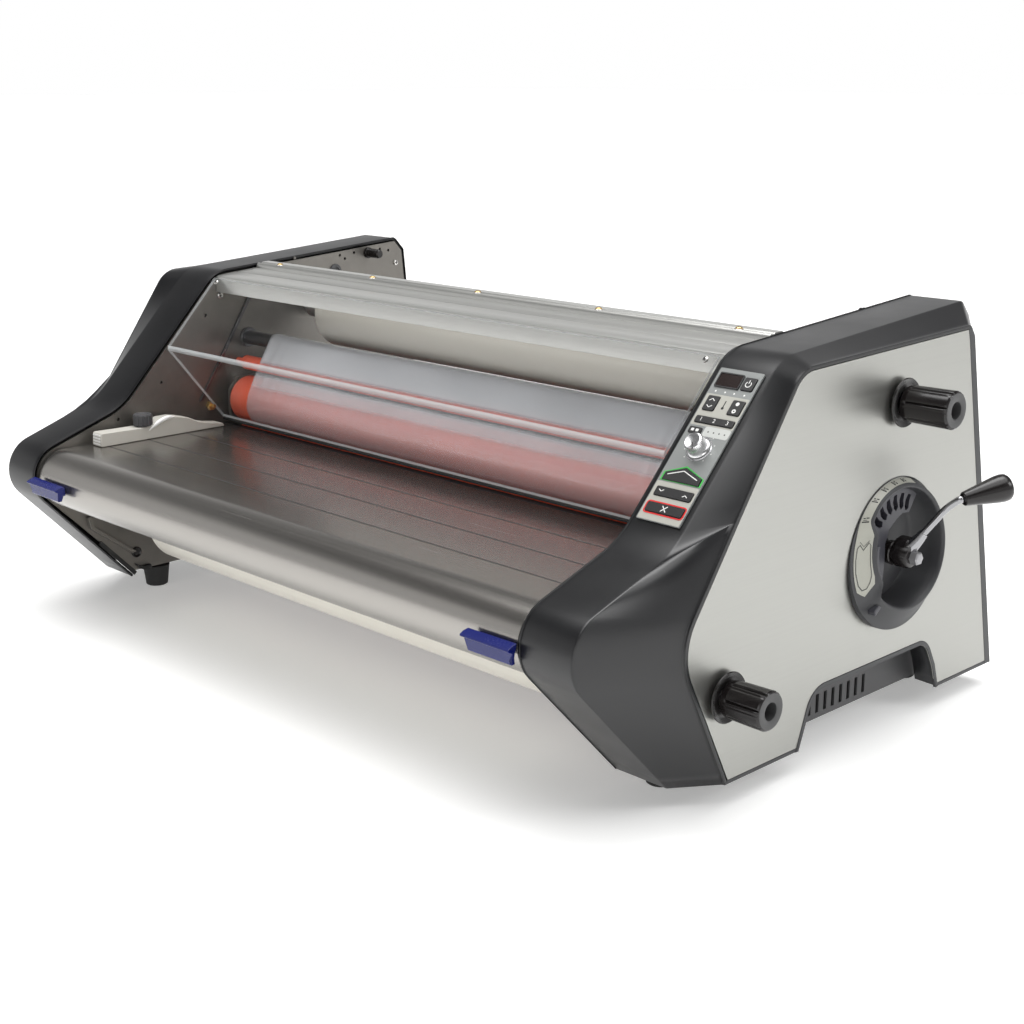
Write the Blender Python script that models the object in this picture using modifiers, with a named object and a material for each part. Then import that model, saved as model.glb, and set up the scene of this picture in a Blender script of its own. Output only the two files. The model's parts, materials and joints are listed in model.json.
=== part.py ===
"""Bench-top roll laminator, built as separate named pieces.

+X runs along the rollers towards the control end, -Y is the feed side and +Z is up.
All design sizes are in millimetres in the machine's own gauge (x from the middle of the
body, z from the lower edge of the end covers) and become metres in mm(). The empty
called frame puts that gauge where the part's origin is: the bottom centre of its box.
"""

import math

import bmesh
import bpy
from mathutils import Vector

# ---------------------------------------------------------------- driving dimensions, mm
ORIGIN_X = 39.37  # middle of the whole width, crank grip included
ORIGIN_Y = -3.84  # middle of the whole depth
FOOT_DROP = 20.0  # from the covers' lower edge to the ground

COVER_INNER_X = 360.5
BAND_OUTER_X = 411.6
PANEL_X = 444.4
WALL = 3.0
GAP = 0.35  # between touching pieces

# End cover outlines in the YZ plane: (y, z, corner radius), front bottom to rear bottom.
BAND_CORNERS = [
    (-162.5, 0.0, 0.0),
    (-300.0, 144.2, 35.6),
    (-162.8, 192.4, 80.0),
    (-35.5, 326.5, 45.0),
    (227.4, 345.8, 6.0),
    (240.5, 331.5, 5.0),
    (275.0, 0.0, 0.0),
]
PANEL_CORNERS = [
    (-125.0, 0.0, 0.0),
    (-187.0, 124.0, 50.0),
    (-124.0, 213.5, 0.0),
    (-47.0, 322.5, 32.0),
    (197.0, 330.4, 5.0),
    (205.0, 320.0, 4.0),
    (275.9, 0.0, 0.0),
]
ARCH = [
    (184.0, 0.0), (177.0, 22.0), (163.0, 44.0), (145.0, 52.5),
    (2.0, 52.0), (-17.0, 45.0), (-28.0, 24.0), (-33.0, 0.0),
]

PLATE_X = (361.0, 364.0)
PLATE_FLOOR = 6.4
FRONT_FOOT_Y = -122.5
HEAT_Y, PULL_Y = -12.0, 135.0
UPPER_Z, LOWER_Z = 184.0, 132.0
ROLLER_R, JOURNAL_R = 25.5, 7.0
ROLLER_HALF = 340.0
SHAFT_END = 369.0  # how far the shafts reach through the side plates
GEAR_TEETH, GEAR_PITCH_R = 20, 26.0
PULLEY_R = 11.5
LIFT_DOWN, LIFT_UP = 0.5, 3.2
UPPER_SUPPLY = (93.0, 277.0)
LOWER_SUPPLY = (-131.0, 77.0)
UPPER_FILM_R, LOWER_FILM_R = 40.0, 46.5
FILM_HALF = 298.0
WEB_HALF = 305.0
IDLER = (5.0, 249.5)
IDLER_R = 8.0
GUIDE_ROLLER = (-9.0, 224.0)
CRANK = (95.0, 146.0)
CAM_OFFSET = 1.5
MOTOR = (60.0, 52.0)

TABLE_Z = 158.0
TABLE_HALF = 356.5
TABLE_REAR_Y = -42.0
NOSE_CENTRE = (-238.0, 128.0)
NOSE_R = 30.0
NOSE_FRONT = NOSE_CENTRE[0] - NOSE_R
GROOVE_Y = (-197.5, -149.5, -101.5)
GUIDE_KNOB = (-341.0, -150.0)

SHIELD_TOP = (-38.5, 320.0)
SHIELD_FOLD = (-104.0, 249.5)
SHIELD_FOOT = (-36.0, 165.0)

SLOPE_TOP = (-51.1, 310.0)  # upper end of the control slope
SLOPE_ANGLE = math.radians(46.48)  # of the slope, from the horizontal

COLOURS = {
    "base_grey": ((0.07, 0.07, 0.073), 0.5, 0.2),
    "plate_grey": ((0.30, 0.28, 0.26), 0.45, 0.8),
    "cover_dark": ((0.025, 0.027, 0.033), 0.45, 0.0),
    "brushed_steel": ((0.55, 0.54, 0.51), 0.35, 1.0),
    "aluminium": ((0.62, 0.62, 0.60), 0.4, 1.0),
    "red_silicone": ((0.65, 0.12, 0.07), 0.55, 0.0),
    "black_plastic": ((0.02, 0.02, 0.022), 0.4, 0.0),
    "dark_grey": ((0.06, 0.06, 0.065), 0.45, 0.0),
    "chrome": ((0.7, 0.7, 0.72), 0.1, 1.0),
    "cream": ((0.72, 0.70, 0.64), 0.5, 0.0),
    "film_white": ((0.85, 0.83, 0.77), 0.4, 0.0),
    "film_clear": ((0.75, 0.78, 0.82), 0.2, 0.0),
    "clear_acrylic": ((0.9, 0.92, 0.93), 0.05, 0.0),
    "blue": ((0.03, 0.06, 0.35), 0.4, 0.0),
    "rubber": ((0.03, 0.03, 0.03), 0.8, 0.0),
    "silver_plastic": ((0.6, 0.6, 0.62), 0.3, 0.4),
}
CLEAR = {"film_clear": 0.4, "clear_acrylic": 0.3}


def mm(value):
    return value * 0.001


# ---------------------------------------------------------------- scene and materials
def clear_scene():
    for item in list(bpy.data.objects):
        bpy.data.objects.remove(item, do_unlink=True)


def new_collection(name):
    collection = bpy.data.collections.new(name)
    bpy.context.scene.collection.children.link(collection)
    return collection


clear_scene()
PARTS = new_collection("roll_laminator")
CUTTERS = new_collection("cutters")
FRAME = bpy.data.objects.new("frame", None)
FRAME.location = (mm(-ORIGIN_X), mm(-ORIGIN_Y), mm(FOOT_DROP))
PARTS.objects.link(FRAME)


def material(name):
    made = bpy.data.materials.get(name)
    if made:
        return made
    colour, roughness, metallic = COLOURS[name]
    made = bpy.data.materials.new(name)
    made.use_nodes = True
    shader = made.node_tree.nodes["Principled BSDF"]
    shader.inputs["Base Color"].default_value = (*colour, 1.0)
    shader.inputs["Roughness"].default_value = roughness
    shader.inputs["Metallic"].default_value = metallic
    shader.inputs["Alpha"].default_value = CLEAR.get(name, 1.0)
    return made


# ---------------------------------------------------------------- building helpers
def add(name, data, slot, origin, turn=(0.0, 0.0, 0.0)):
    """Links a new part whose own origin is at origin (mm)."""
    part = bpy.data.objects.new(name, data)
    part.location = [mm(value) for value in origin]
    part.rotation_euler = turn
    part.parent = FRAME
    data.materials.append(material(slot))
    PARTS.objects.link(part)
    return part


def as_cutter(piece):
    for collection in list(piece.users_collection):
        collection.objects.unlink(piece)
    CUTTERS.objects.link(piece)
    piece.hide_render = True
    piece.display_type = "WIRE"
    return piece


def boolean(part, other, operation):
    change = part.modifiers.new(operation.lower() + "_" + other.name, "BOOLEAN")
    change.operation = operation
    change.object = as_cutter(other)


def box(name, low, high, slot, bevel=0.0, turn=(0.0, 0.0, 0.0)):
    """A block between two corners; turn rotates it about its own centre."""
    size = [mm(b - a) for a, b in zip(low, high)]
    shape = bmesh.new()
    bmesh.ops.create_cube(shape, size=1.0)
    bmesh.ops.scale(shape, vec=size, verts=shape.verts)
    mesh = bpy.data.meshes.new(name)
    shape.to_mesh(mesh)
    shape.free()
    centre = [(a + b) / 2 for a, b in zip(low, high)]
    part = add(name, mesh, slot, centre, turn)
    if bevel:
        edge = part.modifiers.new("rounded edges", "BEVEL")
        edge.width = mm(bevel)
        edge.segments = 1
    return part


def arc(centre, radius, start, end, steps):
    """Points on a circle in the YZ plane, angles in degrees from +Y towards +Z."""
    points = []
    for index in range(steps + 1):
        angle = math.radians(start + (end - start) * index / steps)
        points.append((centre[0] + radius * math.cos(angle), centre[1] + radius * math.sin(angle)))
    return points


def circle(centre, radius, steps=16):
    return arc(centre, radius, 0.0, 360.0 - 360.0 / steps, steps - 1)


def sheet(name, x_low, x_high, loops, slot, pivot=(0.0, 0.0)):
    """A flat outline in the YZ plane, with holes, made solid between two X planes."""
    curve = bpy.data.curves.new(name, "CURVE")
    curve.dimensions = "2D"
    curve.fill_mode = "BOTH"
    curve.extrude = mm(x_high - x_low) / 2
    for loop in loops:
        spline = curve.splines.new("POLY")
        spline.points.add(len(loop) - 1)
        spline.use_cyclic_u = True
        for point, (y, z) in zip(spline.points, loop):
            point.co = (mm(y - pivot[0]), mm(z - pivot[1]), 0.0, 1.0)
    origin = ((x_low + x_high) / 2, pivot[0], pivot[1])
    return add(name, curve, slot, origin, (math.pi / 2, 0.0, math.pi / 2))


def to_mesh(part):
    """Replaces a curve object with the mesh it makes, its caps welded on."""
    name = part.name
    bpy.context.view_layer.update()
    graph = bpy.context.evaluated_depsgraph_get()
    mesh = bpy.data.meshes.new_from_object(part.evaluated_get(graph))
    shape = bmesh.new()
    shape.from_mesh(mesh)
    bmesh.ops.remove_doubles(shape, verts=shape.verts, dist=1e-6)
    bmesh.ops.recalc_face_normals(shape, faces=shape.faces)
    shape.to_mesh(mesh)
    shape.free()
    solid = bpy.data.objects.new(name + "_mesh", mesh)
    solid.location = part.location
    solid.rotation_euler = part.rotation_euler
    solid.parent = FRAME
    PARTS.objects.link(solid)
    bpy.data.objects.remove(part, do_unlink=True)
    solid.name = name
    return solid


def profile_mesh(name, profile, closed=False):
    """A turning profile of (distance along the axis, radius) points, run down its outer side."""
    points = list(profile)
    ends = zip(points, points[1:] + points[:1])
    if sum(a[1] * b[0] - b[1] * a[0] for a, b in ends) > 0:
        points.reverse()
    edges = [(index, index + 1) for index in range(len(points) - 1)]
    if closed:
        edges.append((len(points) - 1, 0))
    mesh = bpy.data.meshes.new(name)
    mesh.from_pydata([(mm(radius), 0.0, mm(along)) for along, radius in points], edges, [])
    return mesh


def spin(part, steps):
    screw = part.modifiers.new("turned", "SCREW")
    screw.steps = steps
    screw.render_steps = steps
    screw.use_merge_vertices = True
    screw.merge_threshold = 1e-5
    screw.use_smooth_shade = True
    return part


def turned(name, profile, centre, slot, steps=20, axis_x=True, closed=False):
    """Turns a profile about the X axis through centre (y, z), or about Z through centre (x, y)."""
    origin = (0.0, *centre) if axis_x else (*centre, 0.0)
    turn = (math.pi / 2, 0.0, math.pi / 2) if axis_x else (0.0, 0.0, 0.0)
    return spin(add(name, profile_mesh(name, profile, closed), slot, origin, turn), steps)


def shaft(name, stages, centre, slot, steps=20):
    """A stepped round bar along X; stages are (x low, x high, radius), left to right."""
    points = [(stages[0][0], 0.0)]
    for low, high, radius in stages:
        points += [(low, radius), (high, radius)]
    return turned(name, points + [(stages[-1][1], 0.0)], centre, slot, steps)


def tube(name, points, radius, slot, sides=2, origin=(0.0, 0.0, 0.0)):
    """A round bar along 3-D points."""
    curve = bpy.data.curves.new(name, "CURVE")
    curve.dimensions = "3D"
    curve.bevel_depth = mm(radius)
    curve.bevel_resolution = sides
    curve.use_fill_caps = True
    spline = curve.splines.new("POLY")
    spline.points.add(len(points) - 1)
    for point, place in zip(spline.points, points):
        point.co = (*[mm(value - start) for value, start in zip(place, origin)], 1.0)
    return add(name, curve, slot, origin)


# ---------------------------------------------------------------- outlines
def rounded(corners, steps=4):
    """Rounds each (y, z, radius) corner with steps + 1 points; a straight one gets them spread out."""
    points = []
    count = len(corners)
    for index, (y, z, radius) in enumerate(corners):
        if index in (0, count - 1):
            points.append((y, z))
            continue
        here = Vector((y, z))
        before = (Vector(corners[index - 1][:2]) - here).normalized()
        after = (Vector(corners[index + 1][:2]) - here).normalized()
        if radius == 0.0:
            for step in range(steps + 1):
                offset = 12.0 * (2.0 * step / steps - 1.0)
                side = after if offset > 0 else before
                points.append(tuple(here + side * abs(offset)))
            continue
        half = before.angle(after) / 2
        reach = radius / math.tan(half)
        start = here + before * reach
        end = here + after * reach
        centre = here + (before + after).normalized() * (radius / math.sin(half))
        spoke = start - centre
        sweep = spoke.angle_signed(end - centre)
        for step in range(steps + 1):
            angle = -sweep * step / steps
            points.append(
                (
                    centre.x + spoke.x * math.cos(angle) - spoke.y * math.sin(angle),
                    centre.y + spoke.x * math.sin(angle) + spoke.y * math.cos(angle),
                )
            )
    return points


def inset(points, distance, cyclic=True):
    """Moves an outline inwards by distance."""
    area = sum(a[0] * b[1] - b[0] * a[1] for a, b in zip(points, points[1:] + points[:1]))
    side = 1.0 if area > 0 else -1.0
    moved = []
    count = len(points)
    for index, point in enumerate(points):
        here = Vector(point)
        ends = []
        if cyclic or index > 0:
            ends.append((here - Vector(points[index - 1])).normalized())
        if cyclic or index < count - 1:
            ends.append((Vector(points[(index + 1) % count]) - here).normalized())
        normals = [Vector((-edge.y, edge.x)) * side for edge in ends]
        total = sum(normals, Vector((0.0, 0.0)))
        mean = total.normalized()
        moved.append(tuple(here + mean * (distance / mean.dot(normals[0]))))
    return moved


def shrunk(corners, distance):
    """The rounded outline moved inwards by distance, each corner keeping its centre where it can."""
    points = [corner[:2] for corner in corners]
    moved = inset(points, distance, cyclic=False)
    result = []
    for index, (here, corner) in enumerate(zip(moved, corners)):
        radius = corner[2]
        if radius:
            before = Vector(corner[:2]) - Vector(points[index - 1])
            after = Vector(points[index + 1]) - Vector(corner[:2])
            turns_left = before.cross(after) > 0
            radius = radius + distance if turns_left else max(radius - distance, 0.6)
        result.append((*here, radius))
    return rounded(result)


BAND = rounded(BAND_CORNERS)


# ---------------------------------------------------------------- casing
def end_cover(name, side):
    """A moulded shell, open below and inwards: the band, the lofted flank and a rim for the outer panel."""
    flange_x = PANEL_X - 2.0
    rows = [
        (COVER_INNER_X, BAND),
        (BAND_OUTER_X - 3.0, BAND),
        (BAND_OUTER_X, shrunk(BAND_CORNERS, 1.5)),
        (flange_x, shrunk(PANEL_CORNERS, 0.6)),
        (flange_x, shrunk(PANEL_CORNERS, 11.0)),
    ]
    shape = bmesh.new()
    grid = []
    for x, outline in rows:
        grid.append([shape.verts.new((mm(side * x), mm(y), mm(max(z, 0.0)))) for y, z in outline])
    for near, far in zip(grid, grid[1:]):
        for index in range(len(near) - 1):
            ring = [near[index], near[index + 1], far[index + 1], far[index]]
            shape.faces.new(ring if side < 0 else ring[::-1])
    mesh = bpy.data.meshes.new(name)
    shape.to_mesh(mesh)
    shape.free()
    part = add(name, mesh, "cover_dark", (0.0, 0.0, 0.0))
    wall = part.modifiers.new("wall", "SOLIDIFY")
    wall.thickness = mm(WALL)
    wall.offset = -1.0
    wall.use_even_offset = True
    return part


def outer_panel(name, side):
    """The brushed sheet over the end of a cover, with the arched hand cut-out at its foot."""
    outline = shrunk(PANEL_CORNERS, 4.0)
    outline[0] = (outline[0][0], 4.0)
    outline[-1] = (outline[-1][0], 4.0)
    arch = inset(ARCH, -4.0, cyclic=False)
    arch[0] = (arch[0][0], 4.0)
    arch[-1] = (arch[-1][0], 4.0)
    loops = [outline + arch]
    if side > 0:
        loops += [circle(UPPER_SUPPLY, 15.0), circle(LOWER_SUPPLY, 15.0), circle(CRANK, 60.0, 32)]
    faces = sorted((side * (PANEL_X - 1.6), side * PANEL_X))
    return sheet(name, *faces, loops, "brushed_steel")


def slot_hole(centre, radius, down, up):
    low = (centre[0], centre[1] - down)
    high = (centre[0], centre[1] + up)
    return arc(high, radius, 0.0, 180.0, 8) + arc(low, radius, 180.0, 360.0, 8)


def side_plate(name, side):
    outline = shrunk(BAND_CORNERS, 3.7)
    outline = [(y, max(z, PLATE_FLOOR)) for y, z in outline]
    outline[0] = (-166.0 + 3.7, PLATE_FLOOR)
    loops = [outline]
    for y in (HEAT_Y, PULL_Y):
        loops.append(circle((y, LOWER_Z), JOURNAL_R + 0.5))
        loops.append(slot_hole((y, UPPER_Z), JOURNAL_R + 0.6, LIFT_DOWN, LIFT_UP))
    loops += [circle(CRANK, 6.6), circle(UPPER_SUPPLY, 6.5, 12), circle(LOWER_SUPPLY, 6.5, 12)]
    faces = sorted((side * PLATE_X[0], side * PLATE_X[1]))
    plate = to_mesh(sheet(name, *faces, loops, "plate_grey"))
    low, high = sorted((side * PLATE_X[0], side * 392.0))
    near, far = FRONT_FOOT_Y - 17.0, FRONT_FOOT_Y + 17.0
    flange = box("flange_" + name, (low, near, 4.0), (high, far, 7.4), "plate_grey")
    boolean(plate, flange, "UNION")
    return plate


def base_pan():
    """A bent tray behind the film roll: floor and two vented side walls."""
    half, low, high, thick = 418.0, 4.0, 58.0, 2.0
    front, rear = -30.0, 257.5
    section = [
        (-half, low), (half, low), (half, high), (half - thick, high),
        (half - thick, low + thick), (thick - half, low + thick), (thick - half, high), (-half, high),
    ]
    curve = bpy.data.curves.new("base_pan", "CURVE")
    curve.dimensions = "2D"
    curve.fill_mode = "BOTH"
    curve.extrude = mm(rear - front) / 2
    spline = curve.splines.new("POLY")
    spline.points.add(len(section) - 1)
    spline.use_cyclic_u = True
    for point, (x, z) in zip(spline.points, section):
        point.co = (mm(x), mm(z), 0.0, 1.0)
    middle = (front + rear) / 2
    pan = to_mesh(add("base_pan", curve, "base_grey", (0.0, middle, 0.0), (math.pi / 2, 0.0, 0.0)))
    vents = box("vent_slots", (-450.0, 8.0, 9.0), (450.0, 12.5, 26.0), "base_grey")
    repeat = vents.modifiers.new("nine slots", "ARRAY")
    repeat.count = 9
    repeat.use_relative_offset = False
    repeat.use_constant_offset = True
    repeat.constant_offset_displace = (0.0, mm(11.5), 0.0)
    boolean(pan, vents, "DIFFERENCE")


def casing():
    for label, side in (("left", -1.0), ("right", 1.0)):
        cover = end_cover("end_cover_" + label, side)
        if side > 0:
            boolean(cover, slope_box("control_window", 371.5, 408.5, 1.5, 136.0, -8.0, 4.0), "DIFFERENCE")
        outer_panel("outer_panel_" + label, side)
        side_plate("side_plate_" + label, side)
        for end, y in (("front", FRONT_FOOT_Y), ("rear", 232.0)):
            profile = [(-FOOT_DROP, 0.0), (-FOOT_DROP, 12.5), (4.0 - GAP, 15.0), (4.0 - GAP, 0.0)]
            turned("foot_" + end + "_" + label, profile, (side * 376.0, y), "rubber", 16, False)
    base_pan()
    panel = box("rear_panel", (-360.5, 252.0, 6.4), (360.5, 254.0, 112.0), "base_grey")
    window = box("switch_window", (-263.5, 248.0, 42.0), (-238.5, 258.0, 72.0), "base_grey")
    boolean(panel, window, "DIFFERENCE")
    top_bar()
    sheet("top_rail", -360.5, 360.5, [rail_outline()], "aluminium")
    box("power_inlet", (-330.0, 254.4, 42.0), (-282.0, 262.0, 72.0), "black_plastic", 1.0)
    box("power_switch", (-262.0, 249.5, 44.0), (-240.0, 259.5, 70.0), "black_plastic", 1.0)


def top_bar():
    """The front extrusion that ties the end plates together and carries the shield."""
    outline = [
        (-34.5, 304.0), (-34.5, 319.5), (-31.5, 322.5), (20.0, 327.0),
        (20.0, 322.0), (-30.0, 317.5), (-31.0, 304.0),
    ]
    sheet("top_bar", -360.5, 360.5, [outline], "aluminium")


def rail_outline():
    return [(20.5, 316.0), (20.5, 328.5), (23.0, 332.0), (38.0, 333.0), (42.0, 330.0), (42.0, 316.0)]


# ---------------------------------------------------------------- rollers and drive
def heat_and_pull_rollers():
    lower_end, upper_end = -395.0, -379.0
    for label, y in (("heat", HEAT_Y), ("pull", PULL_Y)):
        slot = "red_silicone" if label == "heat" else "dark_grey"
        body = (-ROLLER_HALF, ROLLER_HALF, ROLLER_R)
        right_end = (ROLLER_HALF, SHAFT_END, JOURNAL_R)
        stages = [(upper_end, -ROLLER_HALF, JOURNAL_R), body, right_end]
        shaft("upper_" + label + "_roller", stages, (y, UPPER_Z), slot, 24)
        stages = [
            (lower_end, -393.0, JOURNAL_R), (-393.0, -383.0, PULLEY_R),
            (-383.0, -ROLLER_HALF, JOURNAL_R), body, right_end,
        ]
        shaft("lower_" + label + "_roller", stages, (y, LOWER_Z), slot, 24)
        gear("upper_" + label + "_gear", (y, UPPER_Z), 270.0)
        gear("lower_" + label + "_gear", (y, LOWER_Z), 90.0 + 180.0 / GEAR_TEETH)


def gear(name, centre, tooth_at):
    """A spur gear with a tooth centred at tooth_at degrees."""
    pitch = 360.0 / GEAR_TEETH
    module = 2.0 * GEAR_PITCH_R / GEAR_TEETH
    root, tip = GEAR_PITCH_R - 1.15 * module, GEAR_PITCH_R + 0.75 * module
    loop = []
    for tooth in range(GEAR_TEETH):
        middle = tooth_at + tooth * pitch
        for radius, offset in ((root, -4.6), (tip, -1.7), (tip, 1.7), (root, 4.6)):
            loop += arc(centre, radius, middle + offset, middle + offset, 1)[:1]
    sheet(name, -377.0, -367.0, [loop, circle(centre, JOURNAL_R + 0.4, 20)], "dark_grey", centre)


def carriers():
    """Plates inside the side plates that hold the upper rollers and rise together on the cams."""
    bottom, top = 162.5, 207.0
    outline = [
        (-28.0, bottom), (152.0, bottom), (152.0, top - 14.0),
        (140.0, top), (-16.0, top), (-28.0, top - 14.0),
    ]
    loops = [outline] + [circle((y, UPPER_Z), JOURNAL_R + 0.4) for y in (HEAT_Y, PULL_Y)]
    for label, side in (("left", -1.0), ("right", 1.0)):
        faces = sorted((side * 351.5, side * 357.0))
        sheet("roller_carrier_" + label, *faces, loops, "plate_grey")


def belt_and_motor():
    pulleys = [(HEAT_Y, LOWER_Z), (PULL_Y, LOWER_Z), MOTOR]
    loops = [around(pulleys, PULLEY_R + 2.4), around(pulleys, PULLEY_R + 0.5)]
    sheet("drive_belt", -392.5, -383.5, loops, "rubber")
    stages = [(-395.0, -393.0, 6.0), (-393.0, -383.0, PULLEY_R), (-383.0, -379.0, 6.0)]
    shaft("motor_pulley", stages, MOTOR, "aluminium")
    low = (-378.6, MOTOR[0] - 30.0, MOTOR[1] - 26.0)
    high = (-365.0, MOTOR[0] + 30.0, MOTOR[1] + 26.0)
    box("gear_motor", low, high, "dark_grey", 2.0)


def around(centres, radius):
    """The outline of a belt round equal circles."""
    area = sum(a[0] * b[1] - b[0] * a[1] for a, b in zip(centres, centres[1:] + centres[:1]))
    order = centres if area > 0 else list(reversed(centres))
    loop = []
    for before, here, after in zip(order[-1:] + order[:-1], order, order[1:] + order[:1]):
        start = math.degrees(math.atan2(here[1] - before[1], here[0] - before[0])) - 90.0
        end = math.degrees(math.atan2(after[1] - here[1], after[0] - here[0])) - 90.0
        while end < start:
            end += 360.0
        loop += arc(here, radius, start, end, 6)
    return loop


def supplies():
    rolls = (("upper", UPPER_SUPPLY, UPPER_FILM_R), ("lower", LOWER_SUPPLY, LOWER_FILM_R))
    for label, centre, radius in rolls:
        stages = [(-SHAFT_END, -350.0, 6.0), (-350.0, 350.0, 12.5), (350.0, SHAFT_END, 6.0)]
        shaft(label + "_supply_shaft", stages, centre, "aluminium", 12)
        ring = [(-FILM_HALF, 13.0), (FILM_HALF, 13.0), (FILM_HALF, radius), (-FILM_HALF, radius)]
        turned(label + "_film_roll", ring, centre, "film_white", 24, closed=True)
    knob("upper", UPPER_SUPPLY, 497.0)
    knob("lower", LOWER_SUPPLY, 490.0)


def knob(label, centre, end):
    """A film brake knob with a hollow nose, in its flange."""
    foot = PANEL_X + GAP
    flange = [
        (foot, 9.0), (foot, 16.5), (foot + 4.0, 21.0),
        (foot + 5.5, 21.0), (foot + 6.5, 19.5), (foot + 6.5, 9.0),
    ]
    turned(label + "_knob_flange", flange, centre, "black_plastic", 20, closed=True)
    start = foot + 7.0
    body = [
        (start, 0.0), (start, 15.0), (start + 6.0, 15.6), (end - 1.5, 16.0), (end, 14.6),
        (end, 7.4), (end - 12.0, 7.0), (end - 12.0, 0.0),
    ]
    turned(label + "_tension_knob", body, centre, "black_plastic", 20)


def idlers():
    shaft("upper_idler_bar", [(-360.5, 360.5, IDLER_R)], IDLER, "aluminium", 16)
    stages = [(-360.5, -345.0, 4.0), (-345.0, 345.0, 8.0), (345.0, 360.5, 4.0)]
    shaft("upper_guide_roller", stages, GUIDE_ROLLER, "red_silicone", 16)


def film_web():
    """The clear film from the supply side over the idler and down round the upper heat roller."""
    half = 0.25
    bar, roller = IDLER_R + 0.8, ROLLER_R + 0.8
    heat = (HEAT_Y, UPPER_Z)

    def line(extra):
        side = [(50.0, 246.9 + extra)]
        side += arc(IDLER, bar + extra, 75.0, 150.5, 5)
        return side + arc(heat, roller + extra, 150.5, 232.0, 6)

    sheet("upper_film_web", -WEB_HALF, WEB_HALF, [line(half) + line(-half)[::-1]], "film_clear")


# ---------------------------------------------------------------- pressure crank
def crank():
    start = (0.0, *CRANK)
    rod = shaft("cam_shaft", [(-SHAFT_END, 430.5, 6.0)], CRANK, "aluminium", 20)
    for label, side in (("left", -1.0), ("right", 1.0)):
        low, high = sorted((side * 351.5, side * 357.0))
        cam_centre = (CRANK[0], CRANK[1] - CAM_OFFSET)
        boolean(rod, shaft("cam_" + label, [(low, high, 16.0)], cam_centre, "aluminium", 20), "UNION")
    hub = shaft("crank_lever", [(431.0, 463.0, 10.0), (463.0, 471.0, 6.5)], CRANK, "chrome", 16)
    grip_start, grip_end = Vector((491.2, 123.2, 196.4)), Vector((511.0, 160.0, 204.5))
    grip_line = (grip_end - grip_start).normalized()
    points = [(455.0, 95.5, 147.0), (468.0, 102.0, 165.8), (480.0, 115.6, 187.0), (482.6, 117.8, 190.4)]
    points += [tuple(grip_start - grip_line * reach) for reach in (5.0, 0.5)]
    lever = to_mesh(tube("lever_rod", points, 3.2, "chrome", 2, start))
    boolean(hub, lever, "UNION")
    profile = [(46.0, 0.0), (46.0, 7.5), (43.5, 9.6), (37.0, 10.6), (4.0, 6.0), (0.0, 5.0), (0.0, 0.0)]
    mesh = profile_mesh("crank_grip", profile)
    grip_turn = grip_line.to_track_quat("Z", "X").to_euler()
    spin(add("crank_grip", mesh, "black_plastic", grip_start, grip_turn), 16)
    face = PANEL_X + GAP
    bezel = [
        (face, 57.0), (face, 66.2), (face + 3.5, 66.2), (457.0, 57.5), (458.0, 55.5), (457.0, 53.0),
        (431.5, 46.0), (431.5, 12.0), (428.0, 12.0), (428.0, 48.0),
    ]
    turned("dial_bezel", bezel, CRANK, "dark_grey", 32, closed=True)


# ---------------------------------------------------------------- feed side
def feed_table():
    top, thick = TABLE_Z, 2.0
    upper = [(TABLE_REAR_Y, top)]
    for y in reversed(GROOVE_Y):
        upper += [(y + 0.8, top), (y + 0.8, top - 1.0), (y - 0.8, top - 1.0), (y - 0.8, top)]
    outer = upper + arc(NOSE_CENTRE, NOSE_R, 90.0, 245.0, 9)
    inner = arc(NOSE_CENTRE, NOSE_R - thick, 245.0, 90.0, 9) + [(TABLE_REAR_Y, top - thick)]
    sheet("feed_table", -TABLE_HALF, TABLE_HALF, [outer + inner], "brushed_steel")


def paper_guide():
    """The side guide that slides across the table: a long low wedge with a raised grip."""
    low = TABLE_Z + GAP
    outline = [
        (-207.0, low), (-206.0, low + 13.6), (-204.0, low + 14.6),
        (-160.0, low + 13.8), (-139.0, low + 13.8), (-130.0, low + 18.0), (-117.0, low + 19.0),
        (-106.0, low + 17.0), (-96.0, low + 13.0), (-83.0, low + 8.4), (-68.0, low + 5.4),
        (-52.5, low + 3.4), (-51.6, low),
    ]
    sheet("paper_guide", -350.0, -332.5, [outline], "cream")
    start = low + 14.4
    profile = [
        (start + 13.0, 0.0), (start + 13.0, 9.0), (start + 11.0, 10.5),
        (start, 10.5), (start, 0.0),
    ]
    turned("guide_knob", profile, GUIDE_KNOB, "dark_grey", 16, False)


def latches():
    """Sliding tabs across the gap between the table's nose and the covers, each on a lug."""
    outline = [
        (-272.7, 134.0), (-283.0, 130.6), (-282.6, 128.4), (-279.0, 128.2),
        (-278.0, 117.6), (-272.7, 117.0),
    ]
    for label, side, near, far in (("left", -1.0, 297.0, 356.0), ("right", 1.0, 308.0, 361.0)):
        low, high = sorted((side * near, side * far))
        tab = to_mesh(sheet("feed_latch_" + label, low, high, [outline], "blue"))
        low, high = sorted((side * (near + 6.0), side * (near + 38.0)))
        lug = box("lug_" + label, (low, -276.0, 122.0), (high, NOSE_FRONT - GAP, 131.0), "blue")
        boolean(tab, lug, "UNION")


def shield():
    """The clear bent guard, hinged along its upper edge."""
    half = 1.5
    corners = [(*SHIELD_TOP, 0.0), (*SHIELD_FOLD, 9.0), (*SHIELD_FOOT, 0.0)]
    middle = rounded(corners, 4)
    outline = offset_line(middle, half) + offset_line(middle, -half)[::-1]
    sheet("safety_shield", -356.0, 356.0, [outline], "clear_acrylic", SHIELD_TOP)


def offset_line(points, distance):
    moved = []
    last = len(points) - 1
    for index, point in enumerate(points):
        here = Vector(point)
        before = Vector(points[max(index - 1, 0)])
        after = Vector(points[min(index + 1, last)])
        along = (after - before).normalized()
        moved.append(tuple(here + Vector((-along.y, along.x)) * distance))
    return moved


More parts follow.
